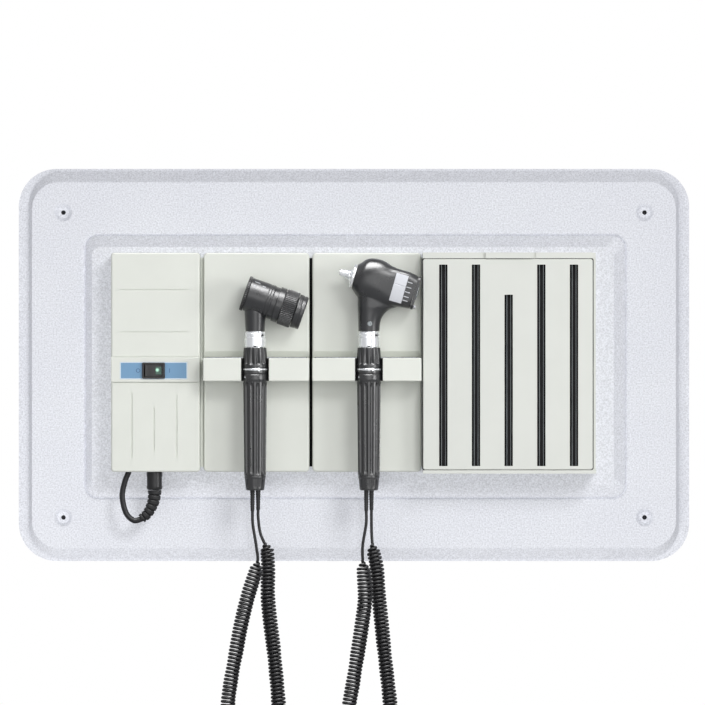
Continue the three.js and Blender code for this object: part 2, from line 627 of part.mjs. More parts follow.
function otoscopeShell() {
  const toWorld = (geometry) => aimed(geometry, OTOSCOPE_FACE, OTOSCOPE_TILT);
  const body = toWorld(headShape(HEAD_SECTIONS));
  const neck = turned([
    [0, 24], [6.9, 24], [6.9, 33.6], [NECK_RADIUS, 33.6], [11.2, 54], [11.2, 78], [0, 78]]);
  const channel = toWorld(headShape([[-1, 5, -5, 5, 2], [20, 9, -9, 9, 2.2], [62, 11.6, -10.8, 10, 3]]));
  const lampBore = rod(5, 20, 76, 16);
  const pinHole = toWorld(rod(1.3, 53, 70, 10).translate(EYE_PIVOT, 0, 0));
  const recesses = [-1, 1].map((toward) => {
    const tool = new THREE.BoxGeometry(CHEEK.length + 0.8, 2, CHEEK.width + 0.7);
    return toWorld(tool.translate(CHEEK.middle, toward * (CHEEK.offset + 0.25), CHEEK.along));
  });
  const port = rod(2.8, -13, -9.3, 12).rotateX(-Math.PI / 2).translate(PORT.x, 0, PORT.z);
  const shell = cut(join(body, neck, neckWeb()), channel, lampBore, pinHole, ...recesses, port);
  return piece("otoscope_shell", "headPlastic", shell);
}

// The frame round the eye lens: a flat plate with a round window and the pivot's hole.
function eyeFrame() {
  const shape = roundedRectangle([EYE_CENTRE + 1.35, 0], 16.65, 13.4, 4);
  const plate = new THREE.ExtrudeGeometry(shape, { depth: 2.7, bevelEnabled: false, curveSegments: 5 });
  const window = rod(10.4, 55, 70).translate(EYE_CENTRE, 0, 0);
  const pinHole = rod(1.3, 55, 70, 10).translate(EYE_PIVOT, 0, 0);
  return cut(plate.translate(0, 0, 61.3), window, pinHole);
}

function otoscopeHead() {
  const tip = ring(
    [[2.8, -15.7], [3.9, -9], [5.8, -5.2], [8.4, -3.2], [11.4, -2.8], [12, -2.2], [12, -0.4]],
    [[1.9, -15.7], [3, -9], [4.6, -0.4]]);
  const cheek = (toward) => {
    const plate = new THREE.BoxGeometry(CHEEK.length, CHEEK.thickness, CHEEK.width);
    return plate.translate(CHEEK.middle, toward * CHEEK.offset, CHEEK.along);
  };
  const lens = turned([[0, 61.6], [10.1, 61.6], [10.1, 63.2], [6.8, 64.5], [0, 65.1]]);
  const pivot = turned([[0, 54], [1.1, 54], [1.1, 64.3], [1.9, 64.3], [1.9, 66.2], [0, 66.2]], 12);
  const optics = aim(new THREE.Group(), OTOSCOPE_FACE, OTOSCOPE_TILT);
  optics.add(
    piece("tip_holder", "chrome", tip),
    piece("side_plate_front", "satinSteel", cheek(-1)),
    piece("side_plate_back", "satinSteel", cheek(1)),
    piece("lens_frame", "headPlastic", eyeFrame()),
    piece("viewing_lens", "glass", lens.translate(EYE_CENTRE, 0, 0)),
    piece("lens_pivot", "satinSteel", pivot.translate(EYE_PIVOT, 0, 0)));
  const lamp = turned([[0, 36], [3.4, 36], [3.4, 46], [2.6, 46.5], [2.6, 53], [1.4, 55], [0, 55.4]], 14);
  const screw = rod(2.5, 0, 1.7, 12).rotateX(Math.PI / 2).translate(PORT.x, -PORT.depth, PORT.z);
  const group = new THREE.Group();
  group.add(
    otoscopeShell(), optics,
    piece("otoscope_lamp", "brass", lamp),
    piece("port_screw", "satinSteel", screw));
  return group;
}

// ---------- magnifier head ----------

const FOCUS_START = 39.7; // where the focusing ring begins along the barrel

function magnifierBody() {
  const toWorld = (geometry) => aimed(geometry, MAGNIFIER_FACE, MAGNIFIER_TILT);
  const barrel = toWorld(turned([
    [0, 3.6], [17, 3.6], [17, 28], [16.6, 28.3], [16.6, 33], [17.7, 33.3], [17.7, FOCUS_START - 0.4],
    [14.5, FOCUS_START - 0.4], [14.5, 50], [0, 50]]));
  const stem = turned([[0, 24], [6.9, 24], [6.9, 33.6], [9.5, 33.6], [10.5, 51.5], [10.5, 57], [0, 57]]);
  const bore = toWorld(turned([[0, 3], [14, 3], [14, 35], [12, 38], [12, 51], [0, 51]]));
  const wiring = rod(4, 20, 66, 14);
  return piece("magnifier_body", "headPlastic", cut(join(barrel, stem), bore, wiring));
}

function magnifierHead() {
  const contactRing = ring([[17.3, 0], [17.75, 0.5], [17.75, 3.3]], [[13.2, 0], [13.2, 3.3]]);
  const ledRing = ring([[13.6, 8], [13.6, 9.6]], [[9.5, 8], [9.5, 9.6]]);
  const focusRing = ring(
    [[17.8, FOCUS_START], [18.3, FOCUS_START + 0.6], [18.3, 52.4], [17.8, 53]],
    [[14.8, FOCUS_START], [14.8, 53]]);
  const eyepiece = ring(
    [[11.7, 44], [11.7, 53.4], [17.2, 53.4], [16.7, 61.6], [16.1, 62.2]],
    [[9.5, 44], [9.5, 59.6], [11.5, 62.2]]);
  const eyeLens = turned([[0, 54.6], [9.2, 55.8], [9.2, 57.4], [0, 58.6]]);
  const optics = aim(new THREE.Group(), MAGNIFIER_FACE, MAGNIFIER_TILT);
  optics.add(
    piece("contact_ring", "blackPlastic", contactRing),
    piece("contact_glass", "glass", rod(12.9, 0.9, 2.6)),
    piece("led_ring", "circuitGreen", ledRing),
    piece("focus_ring", "blackPlastic", focusRing),
    piece("eyepiece", "headPlastic", eyepiece),
    piece("eyepiece_lens", "glass", eyeLens));
  const group = new THREE.Group();
  group.add(magnifierBody(), optics);
  return group;
}

// ---------- assembly ----------

function instrument(side, head) {
  const group = handle(side);
  group.position.set(HANDLE_X[side], -HANDLE_DEPTH, 0);
  group.add(head);
  return group;
}

const station = new THREE.Group();
station.add(
  wallboard(), backingBoard(),
  powerCover(), ...powerInternals(), ...powerSwitch(), ...supplyLead(),
  dispenserBase(), dispenserCover(), dispenserLid(), lidHingePin(), dispenserChannels());
for (const side of ["left", "right"]) {
  station.add(cradleHousing(side), cradleLiner(side), cordPlug(side), cord(side));
}
station.add(instrument("left", magnifierHead()), instrument("right", otoscopeHead()));

export default station;
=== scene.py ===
"""Finished meshes and materials for the wall-mounted diagnostic station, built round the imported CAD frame.

The frame is in metres. Lengths here are in millimetres, +X to the right, +Z up and -Y towards the viewer.
"""

import json
import math

import bmesh
import bpy
import numpy as np
from mathutils import Matrix, Vector

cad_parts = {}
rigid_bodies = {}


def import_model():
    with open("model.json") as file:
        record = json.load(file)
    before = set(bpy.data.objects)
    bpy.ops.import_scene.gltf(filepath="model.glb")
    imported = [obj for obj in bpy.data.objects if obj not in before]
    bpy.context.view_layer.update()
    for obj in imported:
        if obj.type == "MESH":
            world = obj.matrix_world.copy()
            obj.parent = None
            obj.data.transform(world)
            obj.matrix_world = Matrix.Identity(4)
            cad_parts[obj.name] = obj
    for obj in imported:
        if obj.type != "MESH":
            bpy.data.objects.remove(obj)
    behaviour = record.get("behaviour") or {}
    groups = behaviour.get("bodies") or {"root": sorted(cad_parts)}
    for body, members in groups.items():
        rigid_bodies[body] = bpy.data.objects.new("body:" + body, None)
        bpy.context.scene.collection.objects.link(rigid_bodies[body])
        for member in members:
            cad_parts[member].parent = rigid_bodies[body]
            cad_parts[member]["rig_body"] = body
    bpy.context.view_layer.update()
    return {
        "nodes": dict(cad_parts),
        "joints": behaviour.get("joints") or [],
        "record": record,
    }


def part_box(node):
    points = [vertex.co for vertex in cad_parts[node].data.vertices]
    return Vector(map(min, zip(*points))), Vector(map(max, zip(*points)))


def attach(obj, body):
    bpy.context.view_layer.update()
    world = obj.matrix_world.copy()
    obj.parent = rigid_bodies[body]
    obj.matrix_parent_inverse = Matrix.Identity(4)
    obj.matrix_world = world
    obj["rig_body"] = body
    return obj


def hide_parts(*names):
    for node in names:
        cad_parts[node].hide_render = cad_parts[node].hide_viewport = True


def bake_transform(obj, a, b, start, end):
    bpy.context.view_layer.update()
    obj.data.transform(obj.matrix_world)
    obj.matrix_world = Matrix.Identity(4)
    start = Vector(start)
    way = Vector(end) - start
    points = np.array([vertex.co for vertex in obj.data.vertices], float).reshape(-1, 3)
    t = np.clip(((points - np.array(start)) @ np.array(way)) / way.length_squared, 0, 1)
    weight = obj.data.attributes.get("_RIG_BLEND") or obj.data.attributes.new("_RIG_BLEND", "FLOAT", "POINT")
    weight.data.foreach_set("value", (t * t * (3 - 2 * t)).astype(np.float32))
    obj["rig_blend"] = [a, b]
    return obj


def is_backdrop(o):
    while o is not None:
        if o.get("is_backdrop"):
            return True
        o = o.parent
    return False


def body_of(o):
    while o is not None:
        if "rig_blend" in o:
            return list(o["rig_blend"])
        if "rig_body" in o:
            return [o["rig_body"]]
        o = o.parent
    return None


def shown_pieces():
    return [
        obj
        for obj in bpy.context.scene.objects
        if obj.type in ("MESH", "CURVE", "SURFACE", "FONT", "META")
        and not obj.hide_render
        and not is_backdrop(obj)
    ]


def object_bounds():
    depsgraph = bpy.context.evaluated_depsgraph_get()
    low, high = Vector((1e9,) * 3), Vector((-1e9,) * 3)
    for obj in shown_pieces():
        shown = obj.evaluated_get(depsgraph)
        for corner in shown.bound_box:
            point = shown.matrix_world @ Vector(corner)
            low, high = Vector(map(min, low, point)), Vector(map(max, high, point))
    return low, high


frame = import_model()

MM = 0.001
BODY_OF = {node: body for body, nodes in frame["record"]["behaviour"]["bodies"].items() for node in nodes}
JOINTS = {joint["name"]: joint for joint in frame["joints"]}

# ---------------------------------------------------------------- measuring the frame


def extent(node):
    """Lowest and highest corner of a CAD node, in millimetres."""
    low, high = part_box(node)
    return low / MM, high / MM


def centre(node):
    low, high = extent(node)
    return (low + high) / 2


def handle_place(side):
    """The handle's own frame: its axis is local Z, and z is the height in the station."""
    axis = centre("coupling_neck_" + side)
    return Matrix.Translation((axis.x, axis.y, 0))


def joint_place(name):
    """A frame whose Z is the joint's axis and whose X points down the head."""
    joint = JOINTS[name]
    along = Vector(joint["axis"]).normalized()
    across = Vector((0, 1, 0))
    down = across.cross(along)
    turn = Matrix((down, across, along)).transposed().to_4x4()
    return Matrix.Translation(Vector(joint["pos_m"]) / MM) @ turn


# ---------------------------------------------------------------- sizes, in millimetres

# Wallboard: sheet thickness, then how far each edge sits in from the rim and out from the wall.
SHEET = 3.0
LIP = (10.5, 2.0)
FIELD_INSET = 13.5
FIELD_DEPTH = 15.0
CREASE = 2.0
PLATEAU_MARGIN = (68, 65, 64.5, 67.5)
FACE_MARGIN = (6, 11, 12, 11)
DIMPLE_INSET = (45.0, 43.8)

# Housings.
WALL = 2.5
EDGE_ROUND = 2.4
BAND_RISE = 2.0
SLOT_PITCH = 32.5
SLOT_WIDTH = 8.3
SLOT_MARGIN = (3.7, 5.7, 35.7)

# Handles, cradles and the parts that meet them.
COLLAR_RADIUS = 12.5
HANDLE_DEPTH = -centre("coupling_neck_right").y
NOTCH_RADIUS = 13.9
PANEL_DEPTH = 47.0
UPPER_DEPTH = 49.5
LEAD_X = extent("supply_lead")[1].x - 13.5
ROCKER_REST = 8.0
TAB_REACH = 1.5
EAR_ROOM = 3.0
GRIP_FLUTES = 12
RING_SCALLOPS = 12
RELIEF_EASE = 1.5

# Cords. The first two are the straight share of the cord at each end.
COIL_FRONT = 0.091
COIL_BACK = 0.06
COIL_PITCH = 3.7
COIL_REACH = 6.1
WIRE_RADIUS = 1.5

# Picture: its width, the drop from the part to the floor, and the lamps.
FRAME_WIDTH = 705
FLOOR_DROP = 45
SURROUND = 0.55
# Each lamp: name, the group of pieces it lights, position and size in metres, power.
LAMPS = [
    ("board_key", "board", (0.4, -5.0, -0.4), 2.2, 26),
    ("board_under", "board", (-0.35, -1.0, -0.9), 0.9, 7.5),
    ("modules_key", "modules", (1.6, -3.6, 2.1), 1.4, 60),
    ("instruments_key", "instruments", (2.5, -1.9, 0.3), 1.3, 34),
    ("instruments_front", "instruments", (0.4, -3.2, 0.1), 2.0, 16),
]


# ---------------------------------------------------------------- material nodes


class Nodes:
    """Short calls for building one material's node tree."""

    def __init__(self, name):
        self.material = bpy.data.materials.new(name)
        self.material.use_nodes = True
        self.tree = self.material.node_tree
        self.shader = self.tree.nodes["Principled BSDF"]
        self.place = self.add("ShaderNodeTexCoord").outputs["Object"]

    def add(self, kind, **values):
        node = self.tree.nodes.new(kind)
        for key, value in values.items():
            setattr(node, key, value)
        return node

    def link(self, source, target):
        self.tree.links.new(source, target)

    def stretched(self, scale):
        mapping = self.add("ShaderNodeMapping")
        mapping.inputs["Scale"].default_value = scale
        self.link(self.place, mapping.inputs["Vector"])
        return mapping.outputs["Vector"]

    def noise(self, size, detail=3.0, vector=None):
        """Noise whose features are about size millimetres across."""
        node = self.add("ShaderNodeTexNoise")
        node.inputs["Scale"].default_value = 1 / (size * MM)
        node.inputs["Detail"].default_value = detail
        self.link(vector or self.place, node.inputs["Vector"])
        return node.outputs["Fac"]

    def cells(self, size, feature="SMOOTH_F1"):
        node = self.add("ShaderNodeTexVoronoi", feature=feature)
        node.inputs["Scale"].default_value = 1 / (size * MM)
        self.link(self.place, node.inputs["Vector"])
        return node.outputs["Distance"]

    def spread(self, source, low, high):
        """Maps a texture's middle values to the range low to high."""
        node = self.add("ShaderNodeMapRange")
        node.inputs["From Min"].default_value = 0.25
        node.inputs["From Max"].default_value = 0.75
        node.inputs["To Min"].default_value = low
        node.inputs["To Max"].default_value = high
        self.link(source, node.inputs["Value"])
        return node.outputs["Result"]

    def tint(self, factor, first, second):
        node = self.add("ShaderNodeMix", data_type="RGBA")
        self.link(factor, node.inputs["Factor"])
        node.inputs["A"].default_value = (*first, 1)
        node.inputs["B"].default_value = (*second, 1)
        return node.outputs["Result"]

    def bump(self, height, depth, normal=None):
        """A bump of the given depth in millimetres."""
        node = self.add("ShaderNodeBump")
        node.inputs["Distance"].default_value = depth * MM
        self.link(height, node.inputs["Height"])
        if normal:
            self.link(normal, node.inputs["Normal"])
        return node.outputs["Normal"]

    def finish(self, colour=None, roughness=None, normal=None, **values):
        sockets = {"Base Color": colour, "Roughness": roughness, "Normal": normal}
        for socket, source in sockets.items():
            if source is not None:
                self.link(source, self.shader.inputs[socket])
        for key, value in values.items():
            self.shader.inputs[key.replace("_", " ")].default_value = value
        return self.material


def shade(colour, factor):
    return tuple(min(1.0, channel * factor) for channel in colour)


def moulded_plastic(name, colour, roughness, grain=0.45, depth=0.03, mottle=0.04, specular=0.45):
    """Injection-moulded plastic: spark-eroded grain, faint cloudiness and uneven gloss."""
    nodes = Nodes(name)
    clouds = nodes.noise(38, 4)
    fine = nodes.noise(grain, 2)
    tinted = nodes.tint(nodes.spread(clouds, 0, 1), shade(colour, 1 - mottle), shade(colour, 1 + mottle))
    gloss = nodes.spread(nodes.noise(9, 3), roughness - 0.05, roughness + 0.06)
    normal = nodes.bump(fine, depth)
    return nodes.finish(tinted, gloss, normal, Specular_IOR_Level=specular)


def pebbled_sheet(name, colour):
    """Thermoformed sheet with a pebble grain. Its colour speckle is painted sparkle and shade: the light the
    grain catches, painted into the colour as well as bumped.
    """
    nodes = Nodes(name)
    pebbles = nodes.cells(1.5)
    fine = nodes.noise(0.8, 3)
    # Painted sparkle: colour speckle from 0.76 to 1.22 of the sheet colour, standing for the light and shade
    # of the pebble grain.
    painted_sparkle = nodes.tint(nodes.spread(nodes.noise(1.5, 4), 0, 1), shade(colour, 0.76), shade(colour, 1.22))
    clouds = nodes.add("ShaderNodeMix", data_type="RGBA", blend_type="MULTIPLY")
    clouds.inputs["Factor"].default_value = 1
    nodes.link(painted_sparkle, clouds.inputs["A"])
    nodes.link(nodes.tint(nodes.spread(nodes.noise(60, 3), 0, 1), (0.97, 0.97, 0.98), (1, 1, 1)),
               clouds.inputs["B"])
    gloss = nodes.spread(fine, 0.38, 0.6)
    normal = nodes.bump(fine, 0.12, nodes.bump(pebbles, 0.3))
    return nodes.finish(clouds.outputs["Result"], gloss, normal, Specular_IOR_Level=0.5)


def polished_metal(name, colour, roughness, streaks=(1, 1, 1), depth=0.0006, metallic=1.0):
    """Plated or brushed metal: fine directional marks and smudged gloss."""
    nodes = Nodes(name)
    marks = nodes.noise(0.9, 2, nodes.stretched(streaks))
    tinted = nodes.tint(nodes.spread(marks, 0, 1), shade(colour, 0.94), shade(colour, 1.03))
    gloss = nodes.spread(nodes.noise(4, 3), roughness * 0.7, roughness * 1.5)
    normal = nodes.bump(marks, depth)
    return nodes.finish(tinted, gloss, normal, Metallic=metallic)


def clear_lens(name, colour):
    """Coated optical glass with a faint cast and slight unevenness in its polish."""
    nodes = Nodes(name)
    film = nodes.tint(nodes.spread(nodes.noise(14, 2), 0, 1), colour, shade(colour, 1.06))
    gloss = nodes.spread(nodes.noise(6, 3), 0.015, 0.05)
    return nodes.finish(film, gloss, nodes.bump(nodes.noise(8, 2), 0.004), Transmission_Weight=0.85, IOR=1.5,
                        Coat_Weight=0.6, Coat_Roughness=0.03)


def rubber_skin(name, colour, roughness=0.55):
    """Cord and boot rubber: fine grain, dusty lightening and soft sheen."""
    nodes = Nodes(name)
    dust = nodes.spread(nodes.noise(5, 5), 0, 1)
    tinted = nodes.tint(dust, colour, shade(colour, 1.7))
    gloss = nodes.spread(nodes.noise(2.5, 3), roughness - 0.1, roughness + 0.1)
    return nodes.finish(tinted, gloss, nodes.bump(nodes.noise(0.35, 2), 0.02), Specular_IOR_Level=0.4)


def lit_lens(name, colour, spot):
    """Tinted indicator window with the lamp glowing behind one point of it."""
    nodes = Nodes(name)
    aim = nodes.add("ShaderNodeVectorMath", operation="DISTANCE")
    nodes.link(nodes.place, aim.inputs[0])
    aim.inputs[1].default_value = spot * MM
    glow = nodes.add("ShaderNodeMapRange", interpolation_type="SMOOTHERSTEP")
    glow.inputs["From Min"].default_value = 2.6 * MM
    glow.inputs["From Max"].default_value = 0.3 * MM
    glow.inputs["To Max"].default_value = 0.9
    nodes.link(aim.outputs["Value"], glow.inputs["Value"])
    nodes.link(glow.outputs["Result"], nodes.shader.inputs["Emission Strength"])
    tinted = nodes.tint(nodes.spread(nodes.noise(2, 3), 0, 1), shade(colour, 0.8), shade(colour, 1.25))
    gloss = nodes.spread(nodes.noise(1, 2), 0.12, 0.25)
    return nodes.finish(tinted, gloss, nodes.bump(nodes.cells(0.7), 0.05), Emission_Color=(0.55, 1, 0.75, 1))


def coated_board(name):
    """Circuit board: green solder mask with lighter track runs."""
    nodes = Nodes(name)
    tracks = nodes.add("ShaderNodeTexBrick")
    tracks.inputs["Scale"].default_value = 90
    tracks.inputs["Color1"].default_value = (0.012, 0.1, 0.04, 1)
    tracks.inputs["Color2"].default_value = (0.016, 0.12, 0.05, 1)
    tracks.inputs["Mortar"].default_value = (0.05, 0.23, 0.1, 1)
    tracks.inputs["Mortar Size"].default_value = 0.06
    nodes.link(nodes.place, tracks.inputs["Vector"])
    gloss = nodes.spread(nodes.noise(3), 0.25, 0.4)
    return nodes.finish(tracks.outputs["Color"], gloss, nodes.bump(tracks.outputs["Fac"], 0.05))


def laminated_iron(name):
    """Transformer iron: stacked sheets seen edge on under clear lacquer."""
    nodes = Nodes(name)
    sheets = nodes.add("ShaderNodeTexWave", bands_direction="Y")
    sheets.inputs["Scale"].default_value = 320
    nodes.link(nodes.place, sheets.inputs["Vector"])
    tinted = nodes.tint(sheets.outputs["Fac"], (0.06, 0.06, 0.07), (0.16, 0.16, 0.17))
    gloss = nodes.spread(nodes.noise(3), 0.35, 0.55)
    return nodes.finish(tinted, gloss, nodes.bump(sheets.outputs["Fac"], 0.06), Metallic=0.6)


BOARD_WHITE = (0.74, 0.755, 0.8)
HOUSING_GREY = (0.715, 0.735, 0.68)
# CASE_GREY is the housing grey about a tenth darker, for the dispenser: partly the dispenser's own plastic,
# partly painted shade.
CASE_GREY = (0.64, 0.655, 0.615)
STRIP_BLUE = (0.155, 0.315, 0.5)
CHARCOAL = (0.019, 0.0195, 0.021)
HEAD_GREY = (0.017, 0.018, 0.02)
NEAR_BLACK = (0.011, 0.011, 0.012)

BOARD = pebbled_sheet("board_sheet", BOARD_WHITE)
HOUSING = moulded_plastic("housing_plastic", HOUSING_GREY, 0.42, mottle=0.02)
CASE = moulded_plastic("case_plastic", CASE_GREY, 0.42, mottle=0.02)
# The backing's near-black face is partly a guess at its own colour and partly painted shade: where it shows
# through the screw holes it stands for the shade inside them.
BACKING = moulded_plastic("backing_laminate", (0.03, 0.031, 0.034), 0.6, grain=1.2, depth=0.08, mottle=0.2)
STRIP = moulded_plastic("strip_print", STRIP_BLUE, 0.35, grain=0.7, depth=0.02, mottle=0.06)
# Painted highlight: the pale colour of the rim round the blue switch strip.
LABEL_RIM_HIGHLIGHT = moulded_plastic("strip_edge", (0.62, 0.72, 0.8), 0.4, mottle=0.03)
MARK_INK = moulded_plastic("mark_ink", (0.05, 0.12, 0.25), 0.45, mottle=0.1)
# Pale print for the index marks; on the otoscope's cheek ribs the same pale colour is painted highlight.
PALE_PRINT_AND_GLINT = moulded_plastic("pale_ink", (0.6, 0.62, 0.65), 0.45, mottle=0.08)
BLACK = moulded_plastic("black_plastic", NEAR_BLACK, 0.35, depth=0.02, mottle=0.15)
# Near-black and weakly glossy, blacker than the other black plastic. It is the slot channel's own black,
# darkened further as painted shade, and pure painted shade where it fills the gap round the dispenser cover
# and the gap between the cradles.
BLACK_AND_SHADE = moulded_plastic("channel_plastic", (0.003, 0.003, 0.004), 0.5, mottle=0.2, specular=0.2)
# Mid-grey plastic; on the dispenser's slot rails its grey is painted highlight.
RAIL = moulded_plastic("rail_plastic", (0.3, 0.33, 0.34), 0.35, mottle=0.15)
GRIP = moulded_plastic("grip_plastic", CHARCOAL, 0.3, grain=0.35, depth=0.012, mottle=0.12, specular=0.8)
HEAD = moulded_plastic("head_plastic", HEAD_GREY, 0.3, grain=0.3, depth=0.008, mottle=0.1, specular=0.7)
RUBBER = rubber_skin("rubber_skin", (0.009, 0.009, 0.01))
CORD = rubber_skin("cord_jacket", (0.007, 0.007, 0.008), 0.42)
CHROME = polished_metal("chrome_plate", (0.9, 0.92, 0.94), 0.16, (1, 1, 3), metallic=0.7)
STEEL = polished_metal("satin_steel", (0.5, 0.51, 0.54), 0.4, (1, 1, 4), metallic=0.55)
BRASS = polished_metal("bright_brass", (0.6, 0.4, 0.12), 0.22, (1, 1, 4))
GLASS = clear_lens("lens_glass", (0.72, 0.85, 0.98))
PCB = coated_board("circuit_board")
LED = lit_lens("led_resin", (0.7, 0.68, 0.5), Vector((0, 0, 0)))
IRON = laminated_iron("laminated_iron")

# ---------------------------------------------------------------- mesh helpers


def tidy_mesh(mesh, sharp_angle):
    """Merges doubles, points the faces outwards and shades smoothly between sharp edges."""
    work = bmesh.new()
    work.from_mesh(mesh)
    bmesh.ops.remove_doubles(work, verts=work.verts, dist=1e-6)
    bmesh.ops.dissolve_degenerate(work, edges=work.edges, dist=1e-7)
    bmesh.ops.recalc_face_normals(work, faces=work.faces)
    work.to_mesh(mesh)
    work.free()
    mesh.polygons.foreach_set("use_smooth", [True] * len(mesh.polygons))
    mesh.set_sharp_from_angle(angle=math.radians(sharp_angle))


def make_object(name, points, faces, material, sharp_angle=35):
    mesh = bpy.data.meshes.new(name)
    mesh.from_pydata([tuple(Vector(point) * MM) for point in points], [], faces)
    tidy_mesh(mesh, sharp_angle)
    obj = bpy.data.objects.new(name, mesh)
    bpy.context.scene.collection.objects.link(obj)
    mesh.materials.append(material)
    return obj


def bake(obj, sharp_angle=35):
    """Replaces the object's mesh with the result of its modifiers, which must leave something of it."""
    graph = bpy.context.evaluated_depsgraph_get()
    mesh = bpy.data.meshes.new_from_object(obj.evaluated_get(graph))
    if not mesh.polygons:
        raise ValueError(obj.name + " has no faces left")
    obj.modifiers.clear()
    obj.data = mesh
    tidy_mesh(mesh, sharp_angle)
    return obj


def combine(obj, tools, operation):
    for tool in tools:
        modifier = obj.modifiers.new("combine", "BOOLEAN")
        modifier.object = tool
        modifier.operation = operation
        modifier.solver = "EXACT"
    bake(obj)
    for tool in tools:
        bpy.data.objects.remove(tool)
    return obj


def carve(obj, *tools):
    return combine(obj, tools, "DIFFERENCE")


def weld(obj, *tools):
    return combine(obj, tools, "UNION")


def soften(obj, width, segments=3, angle=30):
    """Rounds the hard edges, as a mould leaves them."""
    work = bmesh.new()
    work.from_mesh(obj.data)
    bmesh.ops.dissolve_limit(work, angle_limit=math.radians(1), verts=work.verts, edges=work.edges)
    work.to_mesh(obj.data)
    work.free()
    modifier = obj.modifiers.new("soften", "BEVEL")
    modifier.width = width * MM
    modifier.segments = segments
    modifier.limit_method = "ANGLE"
    modifier.angle_limit = math.radians(angle)
    modifier.harden_normals = False
    return bake(obj)


def flatten_shading(obj):
    """Lets the large flat faces set the normals, so that they stay flat beside rounded edges."""
    modifier = obj.modifiers.new("flat_faces", "WEIGHTED_NORMAL")
    modifier.keep_sharp = True
    modifier.weight = 90


def stand_for(obj, *nodes):
    """The finished piece takes the place of these CAD nodes and moves with their body."""
    flatten_shading(obj)
    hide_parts(*nodes)
    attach(obj, BODY_OF[nodes[0]])
    return obj


def ride_with(obj, node):
    """A surface detail that moves with a node's body."""
    flatten_shading(obj)
    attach(obj, BODY_OF[node])
    return obj


def rounded(points, radius, steps=4, closed=False, length=None):
    """A polyline with its corners rounded. A corner's radius is one number, or one for each point."""
    length = length or (lambda a, b: float(np.linalg.norm(b - a)))
    points = [np.array(point, float) for point in points]
    count = len(points)
    radii = radius if isinstance(radius, (list, tuple)) else [radius] * count
    result = []
    for i, corner in enumerate(points):
        if radii[i] == 0 or (not closed and i in (0, count - 1)):
            result.append(corner)
            continue
        before, after = points[i - 1], points[(i + 1) % count]
        start = corner + (before - corner) * min(0.45, radii[i] / max(length(corner, before), 1e-6))
        end = corner + (after - corner) * min(0.45, radii[i] / max(length(corner, after), 1e-6))
        for step in range(steps + 1):
            t = step / steps
            result.append((1 - t) ** 2 * start + 2 * t * (1 - t) * corner + t * t * end)
    return result


def skin(rings, closed=False, caps=True):
    """Points and faces joining a list of equal rings."""
    count = len(rings[0])
    points = [point for ring in rings for point in ring]
    faces = []
    pairs = len(rings) if closed else len(rings) - 1
    for level in range(pairs):
        here, there = level * count, ((level + 1) % len(rings)) * count
        for i in range(count):
            j = (i + 1) % count
            faces.append((here + i, here + j, there + j, there + i))
    if caps and not closed:
        faces.append(tuple(reversed(range(count))))
        faces.append(tuple(range((len(rings) - 1) * count, len(rings) * count)))
    return points, faces


def refined(outline, spacing):
    """The same polyline with extra points, so that none are further apart than the spacing."""
    result = [outline[0]]
    for before, after in zip(outline, outline[1:]):
        pieces = max(1, math.ceil(float(np.linalg.norm(after - before)) / spacing))
        result.extend(before + (after - before) * step / pieces for step in range(1, pieces + 1))
    return result


def turned(name, profile, material, place=Matrix(), sides=64, corner=0.3, relief=None, closed=False,
           spacing=0):
    """Revolves a profile of [radius, along] points about local Z.

    relief(angle, along) is added to the radius outside, and fades out towards the bore, which stays round.
    """
    outline = rounded(profile, corner, 3, closed)
    if spacing:
        outline = refined(outline, spacing)
    rings = []
    bore = min(radius for radius, along in profile)
    for radius, along in outline:
        ring = []
        share = min(1.0, (radius - bore) / RELIEF_EASE)
        for side in range(sides):
            angle = 2 * math.pi * side / sides
            extra = relief(angle, along) * share if relief else 0
            reach = max(radius + extra, 0)
            ring.append(place @ Vector((reach * math.cos(angle), reach * math.sin(angle), along)))
        rings.append(ring)
    points, faces = skin(rings, closed=closed, caps=False)
    return make_object(name, points, faces, material)


def rounded_outline(x, z, corner, per_corner=10):
    """Points round a rounded rectangle given its x and z spans, anticlockwise as the viewer sees it."""
    corners = [(x[1] - corner, z[1] - corner), (x[0] + corner, z[1] - corner),
               (x[0] + corner, z[0] + corner), (x[1] - corner, z[0] + corner)]
    points = []
    for quarter, (cx, cz) in enumerate(corners):
        for step in range(per_corner + 1):
            angle = math.pi / 2 * (quarter + step / per_corner)
            points.append((cx + corner * math.cos(angle), cz + corner * math.sin(angle)))
    return points


def front_stack(name, levels, material, radius=0.0, per_corner=10, steps=4, place=Matrix()):
    """A solid standing towards local -Y through levels of [left, right, bottom, top, corner, depth]."""
    def length(a, b):
        return math.hypot(float(np.abs(b - a)[:4].mean()), float(b[5] - a[5]))
    rings = []
    for left, right, bottom, top, corner, depth in rounded(levels, radius, steps, length=length):
        outline = rounded_outline((left, right), (bottom, top), max(corner, 0.05), per_corner)
        rings.append([place @ Vector((px, -depth, pz)) for px, pz in outline])
    points, faces = skin(rings)
    return make_object(name, points, faces, material)


def slab(name, x, depth, z, corner, material, edge=0.8, place=Matrix(), per_corner=8):
    """A plate standing towards local -Y with a rounded front edge."""
    levels = [[*x, *z, corner, depth[0]], [*x, *z, corner, depth[1]]]
    inset = [x[0] + 2 * edge, x[1] - 2 * edge, z[0] + 2 * edge, z[1] - 2 * edge]
    levels.append([*inset, max(corner - 2 * edge, 0.1), depth[1]])
    return front_stack(name, levels, material, [0, edge, 0], per_corner, place=place)


def tool(x, depth, z, corner=0.05, per_corner=4):
    levels = [[*x, *z, corner, depth[0]], [*x, *z, corner, depth[1]]]
    return front_stack("tool", levels, BLACK, per_corner=per_corner)


def prism(name, outline, low, high, material, place=Matrix()):
    """A prism along local Z over an outline of (x, y) points."""
    rings = [[place @ Vector((x, y, height)) for x, y in outline] for height in (low, high)]
    points, faces = skin(rings)
    return make_object(name, points, faces, material)


